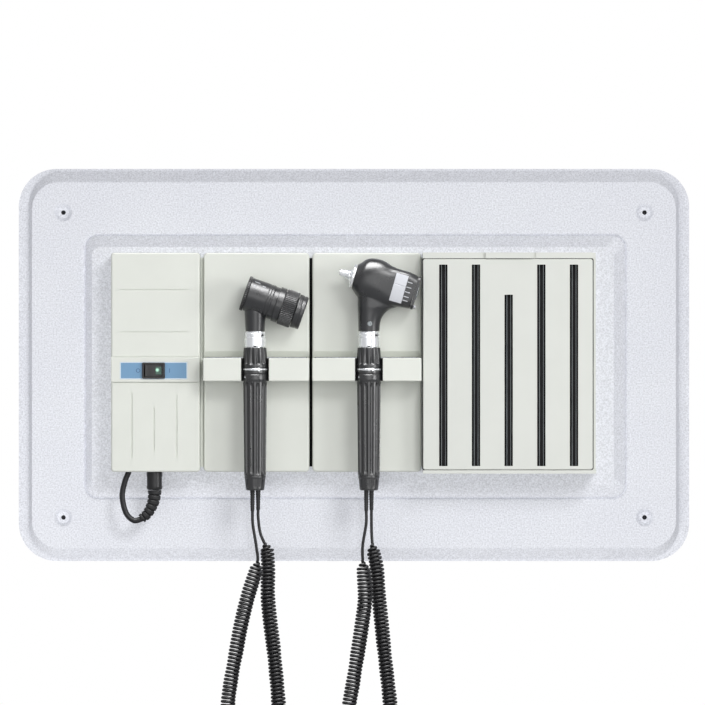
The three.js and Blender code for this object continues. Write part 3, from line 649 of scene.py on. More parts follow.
def smooth_path(points, spacing):
    """Evenly spaced points on a smooth curve through the given points."""
    knots = [np.array(point, float) for point in points]
    knots = [2 * knots[0] - knots[1], *knots, 2 * knots[-1] - knots[-2]]
    dense = []
    for a, b, c, d in zip(knots, knots[1:], knots[2:], knots[3:]):
        for t in np.linspace(0, 1, 24, endpoint=False):
            dense.append(0.5 * (2 * b + (c - a) * t + (2 * a - 5 * b + 4 * c - d) * t * t
                                + (3 * b - a - 3 * c + d) * t ** 3))
    dense.append(knots[-2])
    dense = np.array(dense)
    travelled = np.concatenate([[0], np.cumsum(np.linalg.norm(np.diff(dense, axis=0), axis=1))])
    stations = np.linspace(0, travelled[-1], max(8, int(travelled[-1] / spacing)))
    return np.stack([np.interp(stations, travelled, dense[:, axis]) for axis in range(3)], axis=1), stations


def carried_frames(path):
    """Two unit vectors across the path at each point, carried along it without twisting."""
    tangents = np.gradient(path, axis=0)
    tangents /= np.linalg.norm(tangents, axis=1)[:, None]
    across = np.cross(tangents[0], [0.0, 1.0, 0.0])
    if np.linalg.norm(across) < 0.1:
        across = np.cross(tangents[0], [1.0, 0.0, 0.0])
    first, second = [], []
    for tangent in tangents:
        across = across - tangent * (across @ tangent)
        across = across / np.linalg.norm(across)
        first.append(across)
        second.append(np.cross(tangent, across))
    return np.array(first), np.array(second)


def tube_rings(path, radius_at, sides):
    """Rings of points round a path. radius_at takes the ring's index."""
    first, second = carried_frames(path)
    angles = np.linspace(0, 2 * math.pi, sides, endpoint=False)
    rings = []
    for i, point in enumerate(path):
        radius = radius_at(i)
        offsets = [math.cos(a) * first[i] + math.sin(a) * second[i] for a in angles]
        rings.append([Vector(point + radius * offset) for offset in offsets])
    return rings


# ---------------------------------------------------------------- wallboard


def board_levels():
    """The moulded sheet's surface from its back edge, over the lip and the field, to the plateau's face."""
    low, high = extent("wallboard")
    front = -low.y

    def level(margins, corner, depth, thickness):
        left, right, bottom, top = [margin + thickness for margin in margins]
        return [low.x + left, high.x - right, low.z + bottom, high.z - top, corner - thickness,
                depth - thickness]

    def surface(thickness):
        foot = PLATEAU_MARGIN
        face = [a + b for a, b in zip(PLATEAU_MARGIN, FACE_MARGIN)]
        lip = (LIP[0], LIP[0], LIP[1], LIP[1])
        crease = [[margin - step for margin in foot] for step in (2.4, 1.1)]
        return [
            level((0,) * 4, 38, 4.0, thickness),
            level(lip, 33, 4.5, thickness),
            level((FIELD_INSET,) * 4, 27, FIELD_DEPTH, thickness),
            level(crease[0], 14, FIELD_DEPTH, thickness),
            level(crease[1], 13, FIELD_DEPTH - CREASE, thickness),
            level(foot, 12, FIELD_DEPTH, thickness),
            level(face, 8, front, thickness)]

    outer = [level((0,) * 4, 38, 0, 0), *surface(0)]
    inner = [level((0,) * 4, 38, SHEET, SHEET), *surface(SHEET)]
    return list(reversed(inner)) + outer


def wallboard():
    radii = [0, 0, 1.5, 0, 0, 1.0, 0.5, 0, 0, 0, 1.2, 0.8, 3.0, 0.6, 0.3, 0.6, 2.2, 0]
    sheet = front_stack("wallboard_sheet", board_levels(), BOARD, radii, per_corner=18)
    low, high = extent("wallboard")
    cups, dimples = [], []
    for x in (low.x + DIMPLE_INSET[0], high.x - DIMPLE_INSET[0]):
        for z in (low.z + DIMPLE_INSET[1], high.z - DIMPLE_INSET[1]):
            place = Matrix.Translation((x, 0, z)) @ Matrix.Rotation(math.pi / 2, 4, "X")
            cups.append(turned("cup", [[0, 6.3], [11, 6.3], [11, 14], [0, 14]], BOARD, place, 32, 0))
            bowl = [[0, 5], [2.25, 5], [2.25, 11], [6, 11.2], [7.4, 13.6], [9.6, 15.5], [0, 15.5]]
            dimples.append(turned("bowl", bowl, BOARD, place, 32, [0, 0, 0.4, 1.2, 2, 0, 0]))
    weld(sheet, *cups)
    carve(sheet, *dimples)
    stand_for(sheet, "wallboard")


def backing_board():
    low, high = extent("backing_board")
    board = slab("backing_panel", (low.x, high.x), (0, -low.y), (low.z, high.z), 24, BACKING, 0.5)
    stand_for(board, "backing_board")


# ---------------------------------------------------------------- housings


def grooves(face, spans, depth=1.0):
    """Cutters for shallow grooves in a face at the given depth. Each span is an x range and a z range."""
    return [tool(x, (face - depth, face + 5), z, 0.3) for x, z in spans]


def power_cover():
    low, high = extent("power_cover")
    strip_low, strip_high = extent("switch_strip")
    front = -low.y
    face = front - BAND_RISE
    x, z = (low.x, high.x), (low.z, high.z)
    band_z = (strip_low.z - 3, strip_high.z + 5)
    shell = slab("power_shell", x, (-high.y, face), z, 3, HOUSING, EDGE_ROUND)
    band = slab("power_band", (low.x + 0.02, high.x - 0.02), (40, front), band_z, 0.6, HOUSING, 0.7)
    weld(shell, band)
    hollow = tool((low.x + WALL, high.x - WALL), (0, face - WALL), (low.z + WALL, high.z - WALL), 1.5)
    recess = tool((strip_low.x - 0.2, strip_high.x + 0.2), (front - 1, 99),
                  (strip_low.z - 0.2, strip_high.z + 0.2))
    opening_low, opening_high = extent("switch_housing")
    opening = tool((opening_low.x + 1, opening_high.x - 1), (40, 99), (opening_low.z + 1, opening_high.z - 1))
    plug = centre("supply_plug")
    plug_hole = turned("tool", [[0, -120], [6.9, -120], [6.9, -100], [0, -100]], BLACK,
                       Matrix.Translation((plug.x, plug.y, 0)), 32, 0)
    lead_hole = turned("tool", [[0, -120], [3.3, -120], [3.3, -100], [0, -100]], BLACK,
                       Matrix.Translation((LEAD_X, plug.y, 0)), 24, 0)
    label_x = (low.x + 8.5, high.x - 12)
    lines = [(label_x, (high.z - 37.2, high.z - 36.4)), (label_x, (band_z[1] + 24.6, band_z[1] + 25.4)),
             (x, (band_z[1] - 0.2, band_z[1] + 0.5)), (x, (band_z[0] - 0.5, band_z[0] + 0.2))]
    flutes = [(-22.2, -14, -78.5), (0, -28.5, -71.4), (22.4, -16, -78.5)]
    for offset, top, bottom in flutes:
        flute_x = (plug.x + offset - 0.8, plug.x + offset + 0.8)
        lines.append((flute_x, (strip_low.z + bottom, strip_low.z + top)))
    carve(shell, hollow, recess, opening, plug_hole, lead_hole, *grooves(face, lines))
    soften(shell, 0.25, 2)
    stand_for(shell, "power_cover")


def power_internals():
    for node, material in (("power_base", BLACK), ("power_circuit_board", PCB), ("power_transformer", IRON)):
        frame["nodes"][node].data.materials.clear()
        frame["nodes"][node].data.materials.append(material)
    low, high = extent("power_circuit_board")
    for i, (share, size) in enumerate([(0.2, 9), (0.5, 6), (0.78, 11)]):
        x = low.x + (high.x - low.x) * share
        part = slab("power_component_%d" % (i + 1), (x - size / 2, x + size / 2), (-low.y + 0.05, -low.y + 5),
                    (low.z + 20, low.z + 20 + size), 1, BLACK, 0.4)
        ride_with(part, "power_circuit_board")


def switch():
    low, high = extent("switch_strip")
    front = -low.y
    opening_low, opening_high = extent("switch_housing")
    strip = slab("switch_label_strip", (low.x, high.x), (-high.y, front), (low.z, high.z), 0.6, STRIP, 0.2)
    window = tool((opening_low.x + 1.2, opening_high.x - 1.2), (40, 99),
                  (opening_low.z + 1.2, opening_high.z - 1.2))
    carve(strip, window)
    stand_for(strip, "switch_strip")
    # Painted highlight: a pale frame round the blue strip stands for the light caught along the strip's edge.
    painted_rim = slab("strip_border", (low.x - 0.15, high.x + 0.15), (front - 0.5, front + 0.1),
                  (low.z - 0.15, high.z + 0.15), 0.6, LABEL_RIM_HIGHLIGHT, 0.1)
    carve(painted_rim, tool((low.x + 0.8, high.x - 0.8), (40, 99), (low.z + 0.8, high.z - 0.8), 0.5))
    ride_with(painted_rim, "switch_strip")
    facing = Matrix.Rotation(math.pi / 2, 4, "X")
    middle = (opening_low.z + opening_high.z) / 2
    off_place = Matrix.Translation((opening_low.x - 4, -front, middle)) @ facing
    off_mark = turned("off_mark", [[2.1, 0.02], [2.1, 0.2], [1.5, 0.2], [1.5, 0.02]], MARK_INK, off_place,
                      32, 0.05, closed=True)
    on_x = opening_high.x + 4.4
    on_mark = slab("on_mark", (on_x - 0.3, on_x + 0.3), (front + 0.02, front + 0.2),
                   (middle - 2.1, middle + 2.1), 0.1, MARK_INK, 0.05)
    for mark in (off_mark, on_mark):
        ride_with(mark, "switch_strip")
    bezel = slab("switch_bezel", (opening_low.x, opening_high.x), (front + 0.1, -opening_low.y),
                 (opening_low.z, opening_high.z), 1.2, BLACK, 0.5)
    body_x = (opening_low.x + 1.5, opening_high.x - 1.5)
    body_z = (opening_low.z + 1.4, opening_high.z - 1.4)
    weld(bezel, tool(body_x, (-opening_high.y, -opening_low.y - 1), body_z))
    carve(bezel, tool((body_x[0] + 0.4, body_x[1] - 0.4), (48, 99), (body_z[0] + 0.6, body_z[1] - 0.6)))
    stand_for(soften(bezel, 0.15, 2), "switch_housing")
    rocker()


def rocker():
    """The rocking key: two faces that meet in a shallow valley, with a window in one of them."""
    joint = JOINTS["rocker_tilt"]
    place = Matrix.Translation(Vector(joint["pos_m"]) / MM) @ Matrix.Rotation(math.radians(ROCKER_REST), 4,
            "Z")
    half = (extent("switch_rocker")[1].z - extent("switch_rocker")[0].z) / 2
    face = [(8.9 * step / 8, -3.2 - 1.2 * (step / 8) ** 2) for step in range(-8, 9)]
    outline = [*face, (8.9, 2), (-8.9, 2)]
    key = prism("rocker_key", outline, -half, half, BLACK, place)
    pocket = prism("tool", [(1.1, -6), (7.7, -6), (7.7, -3.4), (1.1, -3.4)], -4.2, 4.2, BLACK, place)
    carve(key, pocket)
    stand_for(soften(key, 0.25, 3), "switch_rocker")
    lens = prism("rocker_window", [(1.4, -4.15), (4.4, -4.35), (7.4, -4.15), (7.4, -3.6), (1.4, -3.6)],
                 -3.9, 3.9, lit_lens("window_plastic", (0.03, 0.085, 0.06),
                 place @ Vector((3.2, -4.3, 0.6))), place)
    stand_for(soften(lens, 0.2, 2), "rocker_lens")


def cradle(side, handle_x):
    node = "cradle_housing_" + side
    low, high = extent(node)
    liner_low, liner_high = extent("cradle_liner_" + side)
    ledge_z = (liner_low.z - 0.2, liner_high.z + 0.4)
    front = -low.y
    groove_top = ledge_z[1] + 7
    x, z = (low.x, high.x), (low.z, high.z)
    shell = slab("cradle_shell_" + side, x, (-high.y, PANEL_DEPTH), z, 4, HOUSING, EDGE_ROUND)
    upper = slab("upper", x, (PANEL_DEPTH - 9, UPPER_DEPTH), (groove_top - 7, high.z), 4, HOUSING, EDGE_ROUND)
    weld(shell, upper)
    cove = [(ledge_z[1] - 5, -UPPER_DEPTH - 5), (ledge_z[1] - 5, 3.5 - PANEL_DEPTH),
            (ledge_z[1] + 0.6, 3 - PANEL_DEPTH), (ledge_z[1] + 1.6, 1.5 - PANEL_DEPTH),
            (groove_top, -UPPER_DEPTH - 0.1), (groove_top, -UPPER_DEPTH - 5)]
    sideways = Matrix(((0, 0, 1, 0), (0, 1, 0, 0), (1, 0, 0, 0), (0, 0, 0, 1)))
    carve(shell, prism("tool", cove, low.x - 1, high.x + 1, HOUSING, sideways))
    ledge = slab("ledge", x, (PANEL_DEPTH - 8, front), ledge_z, 1.2, HOUSING, 1.6)
    weld(shell, ledge)
    inside = (low.x + WALL, high.x - WALL)
    hollow = tool(inside, (0, PANEL_DEPTH - WALL), (low.z + WALL, high.z - WALL), 1.5)
    carve(shell, hollow, *u_tools(handle_x, NOTCH_RADIUS, ledge_z[0] - 5, ledge_z[1] + 5))
    plug = centre("cord_plug_" + side)
    hole = turned("tool", [[0, -120], [4.3, -120], [4.3, -100], [0, -100]], BLACK,
                  Matrix.Translation((plug.x, plug.y, 0)), 24, 0)
    carve(shell, hole)
    stand_for(soften(shell, 0.3, 2), node)
    cradle_liner(side, handle_x, liner_low, liner_high)


def u_outline(handle_x, radius):
    """The opening a handle drops into, from above: straight sides towards the viewer and a round back."""
    turns = [math.pi * step / 24 for step in range(25)]
    arc = [(handle_x + radius * math.cos(turn), -HANDLE_DEPTH + radius * math.sin(turn)) for turn in turns]
    return [*arc, (handle_x - radius, -99), (handle_x + radius, -99)]


def u_tools(handle_x, radius, low, high):
    return [prism("tool", u_outline(handle_x, radius), low, high, BLACK)]


def gap_strips():
    """Rails that close the gaps between neighbouring modules. The one between the two cradles is near-black
    painted shade, standing for the darkness deep in that gap.
    """
    nodes = ["power_cover", "cradle_housing_left", "cradle_housing_right", "dispenser_base"]
    boxes = [extent(node) for node in nodes]
    plateau = -extent("wallboard")[0].y
    for number, (left, right) in enumerate(zip(boxes, boxes[1:])):
        between_cradles = number == 1
        # Between the cradles the rail is near-black painted shade; the other rails are housing grey and sit
        # further forward.
        reach, depth, material = (3, plateau + 0.26, BLACK_AND_SHADE) if between_cradles else (-0.3,
                PANEL_DEPTH - 4, HOUSING)
        rail = slab("gap_rail_%d" % (number + 1), (left[1].x - reach, right[0].x + reach),
                    (plateau + 0.02, depth), (left[0].z + 5, left[1].z - 5), 0.1, material, 0.05)
        ride_with(rail, "cradle_housing_right")


def cradle_liner(side, handle_x, low, high):
    reach = (high.x - low.x) / 2
    liner = prism("cradle_pad_" + side, u_outline(handle_x, reach), low.z, high.z, RUBBER)
    front = tool((handle_x - 30, handle_x + 30), (-low.y, 120), (-40, 40))
    seat = u_tools(handle_x, COLLAR_RADIUS + 0.45, low.z + 0.8, high.z + 5)
    throat = u_tools(handle_x, COLLAR_RADIUS + 0.1, low.z - 5, high.z + 5)
    carve(liner, front, *seat, *throat)
    stand_for(soften(liner, 0.18, 2), "cradle_liner_" + side)


# ---------------------------------------------------------------- dispenser


def slot_places():
    """Each slot's centre and its bottom and top."""
    low, high = extent("dispenser_cover")
    middle = (low.x + high.x) / 2 + 0.85
    places = []
    for index in range(-2, 3):
        top = high.z - (SLOT_MARGIN[2] if index == 0 else SLOT_MARGIN[1])
        places.append((middle + index * SLOT_PITCH, low.z + SLOT_MARGIN[0], top))
    return places


def dispenser():
    low, high = extent("dispenser_cover")
    front = -low.y
    cover = slab("dispenser_shell", (low.x, high.x), (-high.y, front), (low.z, high.z), 2.5, CASE, 1.5)
    hollow = tool((low.x + WALL, high.x - WALL), (0, front - WALL), (low.z + WALL, high.z - WALL), 1)
    slots = [tool((x - SLOT_WIDTH / 2, x + SLOT_WIDTH / 2), (50, 99), (bottom, top), 0.5) for x, bottom,
             top in slot_places()]
    carve(cover, hollow, *slots)
    stand_for(soften(cover, 0.3, 2), "dispenser_cover")
    # Painted shade: a near-black frame behind the cover's edge, standing for the shade in the gap round the
    # cover and under the lid.
    gap_shade = slab("dispenser_gasket", (low.x - 0.9, high.x + 0.9), (front - 6, front - 1.6),
                (low.z - 0.35, high.z + 0.9), 2.5, BLACK_AND_SHADE, 0.2)
    carve(gap_shade, tool((low.x + 1, high.x - 1), (0, 99), (low.z + 1, high.z - 1), 1))
    carve(gap_shade, tool((low.x + 0.05, high.x - 0.05), (0, 99), (low.z + 0.05, high.z - 0.05), 2.5))
    ride_with(gap_shade, "dispenser_cover")
    dispenser_base()
    dispenser_lid()
    dispenser_channels()


def hinge_rod(name, radius, x0, x1, material, sides=32):
    joint = Vector(JOINTS["lid_open"]["pos_m"]) / MM
    place = Matrix.Translation((0, joint.y, joint.z)) @ Matrix.Rotation(math.pi / 2, 4, "Y")
    return turned(name, [[0, x0], [radius, x0], [radius, x1], [0, x1]], material, place, sides, 0.2)


def dispenser_base():
    low, high = extent("dispenser_base")
    cover_low, cover_high = extent("dispenser_cover")
    lid_low = extent("dispenser_lid")[0]
    pivot = -JOINTS["lid_open"]["pos_m"][1] / MM
    back = slab("dispenser_back", (low.x, high.x), (-high.y, -high.y + 3.7), (low.z, high.z), 2, CASE, 0.3)
    lip = tool((low.x, high.x), (-high.y, -low.y), (low.z, cover_low.z - 0.4), 0.6)
    flange = tool((cover_high.x + 0.3, high.x), (-high.y, 45), (low.z, high.z), 0.6)
    ear = tool((low.x, low.x + 2.6), (-high.y, pivot), (lid_low.z, high.z))
    knuckle = hinge_rod("knuckle", (high.z - lid_low.z) / 2, low.x, low.x + 2.6, CASE)
    weld(back, lip, flange, ear, knuckle)
    carve(back, hinge_rod("tool", 1.2, low.x - 1, high.x + 1, CASE))
    stand_for(soften(back, 0.3, 2), "dispenser_base")


def dispenser_lid():
    low, high = extent("dispenser_lid")
    joint = Vector(JOINTS["lid_open"]["pos_m"]) / MM
    pivot = -joint.y
    tab_front = -low.y
    front = tab_front - TAB_REACH
    lid = tool((low.x, high.x), (pivot, front), (low.z, high.z), 0.6)
    lid.name = "dispenser_flap"
    lid.data.materials.clear()
    lid.data.materials.append(CASE)
    tab = tool((low.x + 62.5, low.x + 109.5), (front - 3, tab_front), (low.z, high.z), 0.8)
    moat = tool((low.x + 59.5, low.x + 112.5), (front - 1.8, 99), (low.z - 1, high.z + 1))
    ear_room = tool((low.x - 1, low.x + EAR_ROOM), (0, pivot + 3.6), (low.z - 5, high.z + 5))
    carve(lid, moat, ear_room)
    knuckle = hinge_rod("knuckle", (high.z - low.z) / 2 - 0.05, low.x + EAR_ROOM, high.x - 0.05, CASE)
    weld(lid, knuckle, tab)
    carve(lid, hinge_rod("tool", 1.3, low.x - 1, high.x + 1, CASE))
    stand_for(soften(lid, 0.3, 2), "dispenser_lid")
    pin_low, pin_high = extent("lid_hinge_pin")
    pin = hinge_rod("hinge_pin", (pin_high.z - pin_low.z) / 2, pin_low.x, pin_high.x, STEEL)
    stand_for(pin, "lid_hinge_pin")


def dispenser_channels():
    """The near-black magazine behind the slots: a plate, dividers and two guide rails in each slot. The
    plate's black is partly painted shade, and the rails' mid-grey is painted highlight.
    """
    low, high = extent("dispenser_channels")
    z = (low.z, high.z)
    plate_depth = -low.y - 5
    plate = slab("channel_plate", (low.x, high.x), (plate_depth, plate_depth + 1.5), z, 1, BLACK_AND_SHADE, 0.2)
    middle = slot_places()[2][0]
    dividers = []
    for index in range(6):
        x = middle + (index - 2.5) * SLOT_PITCH * 0.96
        dividers.append(tool((x - 0.8, x + 0.8), (-high.y, plate_depth + 0.5), z))
    weld(plate, *dividers)
    stand_for(plate, "dispenser_channels")
    for number, (x, *_) in enumerate(slot_places()):
        for side, offset in (("left", -1.7), ("right", 2.1)):
            # Painted highlight: the rails are mid-grey so that they show as the light lines caught along
            # their edges in the dark slots.
            rail = slab("slot_rail_%d_%s" % (number + 1, side), (x + offset - 0.24, x + offset + 0.24),
                        (plate_depth + 1, -low.y), z, 0.2, RAIL, 0.1)
            ride_with(rail, "dispenser_channels")


# ---------------------------------------------------------------- handles


def window(value, start, end, edge):
    """1 between start and end, easing to 0 over the edge distance outside them."""
    inside = min(value - start, end - value) / edge + 1
    share = max(0.0, min(1.0, inside))
    return share * share * (3 - 2 * share)


def grip_relief(angle, along):
    """Long shallow flutes down the grip."""
    wave = max(0.0, 0.4 - math.cos(GRIP_FLUTES * angle)) / 1.4
    return -1.55 * wave ** 0.5 * window(along, -106, -20.5, 3)


def scallop_relief(angle, along):
    """Finger scallops round the dimmer ring, narrow above and broad and round below."""
    down = max(0.0, min(1.0, (16 - along) / 15))
    wave = (1 - math.cos(RING_SCALLOPS * angle)) / 2
    return -(0.8 + 1.4 * down) * wave ** (3.0 - 1.9 * down) * window(along, 2.2, 20, 2.4)


def cap_relief(angle, along):
    wave = max(0.0, math.cos(GRIP_FLUTES * angle)) ** 0.7
    return -0.25 * wave * window(along, -121, -113, 1.5)


def handle(side, cord_offset):
    place = handle_place(side)
    node_names = {"grip": "grip_" + side, "cap": "end_cap_" + side, "ring": "rheostat_ring_" + side}
    bore = 8.5
    grip = turned("grip_shell_" + side, [[bore, -110], [10.75, -110], [11.75, -16.6], [12.1, -15.6],
                  [COLLAR_RADIUS, -14.4], [COLLAR_RADIUS, -9.9], [12.1, -9.4], [12.1, -8.6],
                  [COLLAR_RADIUS, -8.1], [COLLAR_RADIUS, -5.5], [bore, -5.5]], GRIP, place, 216, 0.3,
                  grip_relief, closed=True, spacing=1.5)
    stand_for(grip, node_names["grip"])
    collar_dots(side, place)
    cap = turned("end_cap_shell_" + side, [[0, -124.5], [8.4, -124.5], [9.25, -123.4], [10.35, -112.6],
                 [10.6, -112], [10.6, -110.2], [8.3, -110.2], [8.3, -104], [0, -104]], GRIP, place, 120,
                 0.3, cap_relief, spacing=1.2)
    relief_tool = turned("tool", [[0, -130], [3.2, -130], [3.2, -100], [0, -100]], BLACK,
                         place @ Matrix.Translation((cord_offset, 0, 0)), 24, 0)
    slots = []
    for turn in (-0.9, 0.9, 2.4, -2.4):
        slot_place = place @ Matrix.Rotation(turn, 4, "Z")
        slots.append(front_stack("tool", [[-0.7, 0.7, -121.5, -113.5, 0.3, 9.3],
                     [-0.7, 0.7, -121.5, -113.5, 0.3, 14]], BLACK, place=slot_place, per_corner=3))
    carve(cap, relief_tool, *slots)
    stand_for(cap, node_names["cap"])
    relief = turned("cord_relief_" + side, [[0, -145], [1.9, -145], [2.05, -142], [2.6, -113], [2.6, -112],
                    [0, -112]], RUBBER, place @ Matrix.Translation((cord_offset, 0, 0)), 32, 0.3,
                    lambda angle, along: -0.22 * max(0, math.sin(along * 2.6)) * window(along, -141, -126,
                    1), spacing=0.35)
    stand_for(relief, "strain_relief_" + side)
    coupling(side, place)
    trim = turned("trim_" + side, [[bore, -5.2], [12.55, -5.2], [12.75, -4.3], [12.55, -3.4],
                  [bore, -3.4]], CHROME, place, 96, 0.2, closed=True)
    stand_for(trim, "trim_ring_" + side)
    ring = turned("dimmer_" + side, [[bore, -3], [12.5, -3], [12.5, 0.2], [12.3, 2], [11.25, 17],
                  [10.9, 17.4], [bore, 17.4]], HEAD, place, 180, 0.3, scallop_relief, closed=True,
                  spacing=0.7)
    stand_for(ring, node_names["ring"])


def collar_dots(side, place):
    """Small dimples where the flutes meet the collar, and the index mark beside them."""
    for number in range(GRIP_FLUTES):
        turn = place @ Matrix.Rotation(2 * math.pi * (number + 0.5) / GRIP_FLUTES, 4, "Z")
        facing = turn @ Matrix.Translation((0, -11.9, -17.8)) @ Matrix.Rotation(math.pi / 2, 4, "X")
        dot = turned("collar_stud_%s_%d" % (side, number + 1), [[0, -0.6], [0.9, -0.6], [0.9, 0.05],
                     [0.5, 0.25], [0, 0.3]], BLACK, facing, 16, 0.1)
        ride_with(dot, "grip_" + side)
    mark_place = place @ Matrix.Rotation(-0.92, 4, "Z")
    points = [(-1.1, -12.6), (1.1, -12.6), (0, -10.4)]
    rings = [[mark_place @ Vector((x, -depth, z)) for x, z in points] for depth in (12.1, 12.6)]
    mark = make_object("collar_mark_" + side, *skin(rings), PALE_PRINT_AND_GLINT)
    ride_with(mark, "grip_" + side)


def coupling(side, place):
    """The chromed neck that the head twists on to, with its catch slot and the notch above the dimmer."""
    profile = [[3, -24], [8.2, -24], [8.2, 17.8], [10.5, 17.8], [10.6, 18.4], [10.6, 27.6], [9.9, 27.9],
               [9.9, 28.5], [10.6, 28.8], [10.6, 31.4], [10.2, 31.6], [10.2, 32], [10.6, 32.2],
               [10.6, 33.2], [7.2, 33.2], [7.2, 20], [3, 20]]
    neck = turned("neck_" + side, profile, CHROME, place, 120, 0.18, closed=True)
    cutters = []
    for turn in (0, math.pi):
        notch_place = place @ Matrix.Rotation(turn, 4, "Z")
        levels = [[-1.7, 1.7, 16.5, 19.4, 0.5, 9.2], [-1.7, 1.7, 16.5, 19.4, 0.5, 12]]
        cutters.append(front_stack("tool", levels, BLACK, place=notch_place, per_corner=4))
        catch_place = place @ Matrix.Rotation(turn + 0.78, 4, "Z")
        catch = [[-2.2, 2.2, 28.6, 30.5, 0.7, 9.4], [-2.2, 2.2, 28.6, 30.5, 0.7, 12]]
        cutters.append(front_stack("tool", catch, BLACK, place=catch_place, per_corner=4))
    carve(neck, *cutters)
    stand_for(soften(neck, 0.08, 2), "coupling_neck_" + side)
    for number, turn in enumerate((0, math.pi)):
        levels = [[-1.6, 1.6, 17.9, 19.3, 0.5, 9.1], [-1.6, 1.6, 17.9, 19.3, 0.5, 10.2]]
        key = front_stack("neck_key_%s_%d" % (side, number + 1), levels, BLACK, 0, 4,
                          place=place @ Matrix.Rotation(turn, 4, "Z"))
        levels = [[-2.1, 2.1, 28.7, 30.4, 0.7, 9.2], [-2.1, 2.1, 28.7, 30.4, 0.7, 10.1]]
        catch = front_stack("neck_catch_%s_%d" % (side, number + 1), levels, BLACK, 0, 4,
                            place=place @ Matrix.Rotation(turn + 0.78, 4, "Z"))
        ride_with(key, "coupling_neck_" + side)
        ride_with(catch, "coupling_neck_" + side)
    pin = turned("contact_" + side, [[0, -12], [2.2, -12], [2.4, -11.6], [2.4, 20.8], [1.5, 21.4],
                 [1.5, 22.1], [0.9, 22.5], [0, 22.5]], BRASS, place, 32, 0.2)
    stand_for(pin, "contact_pin_" + side)


# ---------------------------------------------------------------- cords


def coil_share(share):
    """0 on the straight cable at each end of a cord and 1 on the coil between them."""
    from_end = min(share - COIL_FRONT, 1 - COIL_BACK - share)
    grow = max(0.0, min(1.0, from_end / 0.02))
    return grow * grow * (3 - 2 * grow)


def cord(side, route, body):
    """One cord: straight cable, a coil that hangs in a loop, and straight cable back to the module."""
    path, travelled = smooth_path([(x, -depth, z) for x, depth, z in route], 0.12)
    length = travelled[-1]
    first, second = carried_frames(path)
    shares = travelled / length
    turn = 0.0
    points = [path[0]]
    for i in range(1, len(path)):
        swell = coil_share(shares[i])
        turn += 2 * math.pi * (travelled[i] - travelled[i - 1]) / COIL_PITCH * (1 if swell > 0 else 0)
        wobble = 1 + 0.05 * math.sin(travelled[i] / 17 + 1.3) + 0.03 * math.sin(travelled[i] / 5.3)
        reach = COIL_REACH * swell * min(1.0, wobble)
        centre_line = path[i] + reach * (math.cos(turn) * first[i] + math.sin(turn) * second[i])
        if np.linalg.norm(centre_line - points[-1]) > 1.15:
            points.append(centre_line)
    points.append(path[-1])
    points = np.array(points)
    rings = tube_rings(points, lambda i: WIRE_RADIUS, 8)
    obj = make_object("coil_cord_" + side, *skin(rings), CORD, 80)
    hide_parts("cord_" + side)
    start = Vector((0, path[0][1] + 3, 0)) * MM
    end = Vector((0, path[-1][1] - 4, 0)) * MM
    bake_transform(obj, body, "station", start, end)


# Points of [right of the handle's axis, depth, height].
# They run down the front strand, round the loop and up the back strand.
CORD_ROUTES = {"left": [[-2.6, 73, -145], [-2.3, 73, -158], [1.1, 72, -180], [2.1, 70, -198],
                        [-7.3, 66, -230], [-14.1, 62, -258], [-19.4, 59, -287], [-24.6, 56, -316],
                        [-27.4, 53, -340], [-26.3, 51.5, -368], [-18.7, 50.5, -390], [-1.7, 50, -400],
                        [14.8, 49, -390], [22.5, 48, -368], [23.2, 46, -340], [18.5, 43, -287],
                        [14.9, 41, -258], [12.3, 39, -230], [12.5, 38, -201], [11.1, 37, -184],
                        [4.8, 36, -168], [2.6, 36, -152], [2.6, 36, -145]],
                        "right": [[-2.6, 73, -145], [-2.8, 73, -158], [-6.2, 72, -180], [-5.9, 70, -198],
                        [-3.8, 66, -230], [-6.9, 62, -258], [-11.2, 59, -287], [-15.7, 56, -316],
                        [-19.8, 53, -340], [-22.2, 51.5, -368], [-15.8, 50.5, -390], [0.2, 50, -400],
                        [16.2, 49, -390], [22.8, 48, -368], [21.4, 46, -340], [15.6, 43, -287],
                        [12.7, 41, -258], [9.8, 39, -230], [7.7, 38, -201], [4.2, 37, -184],
                        [2.8, 36, -168], [2.6, 36, -152], [2.6, 36, -145]], }


def cord_plug(side):
    plug = centre("cord_plug_" + side)
    profile = [[0, -145], [1.8, -145], [2.0, -143], [2.5, -124.5], [4.6, -123.4], [6, -121], [6, -106.8],
               [4, -106.8], [4, -98], [0, -98]]
    ribs = lambda angle, along: -0.25 * max(0, math.sin(along * 2.4)) * window(along, -142, -127, 1)
    obj = turned("module_plug_" + side, profile, RUBBER, Matrix.Translation((plug.x, plug.y, 0)), 40, 0.4,
                 ribs, spacing=0.4)
    stand_for(obj, "cord_plug_" + side)


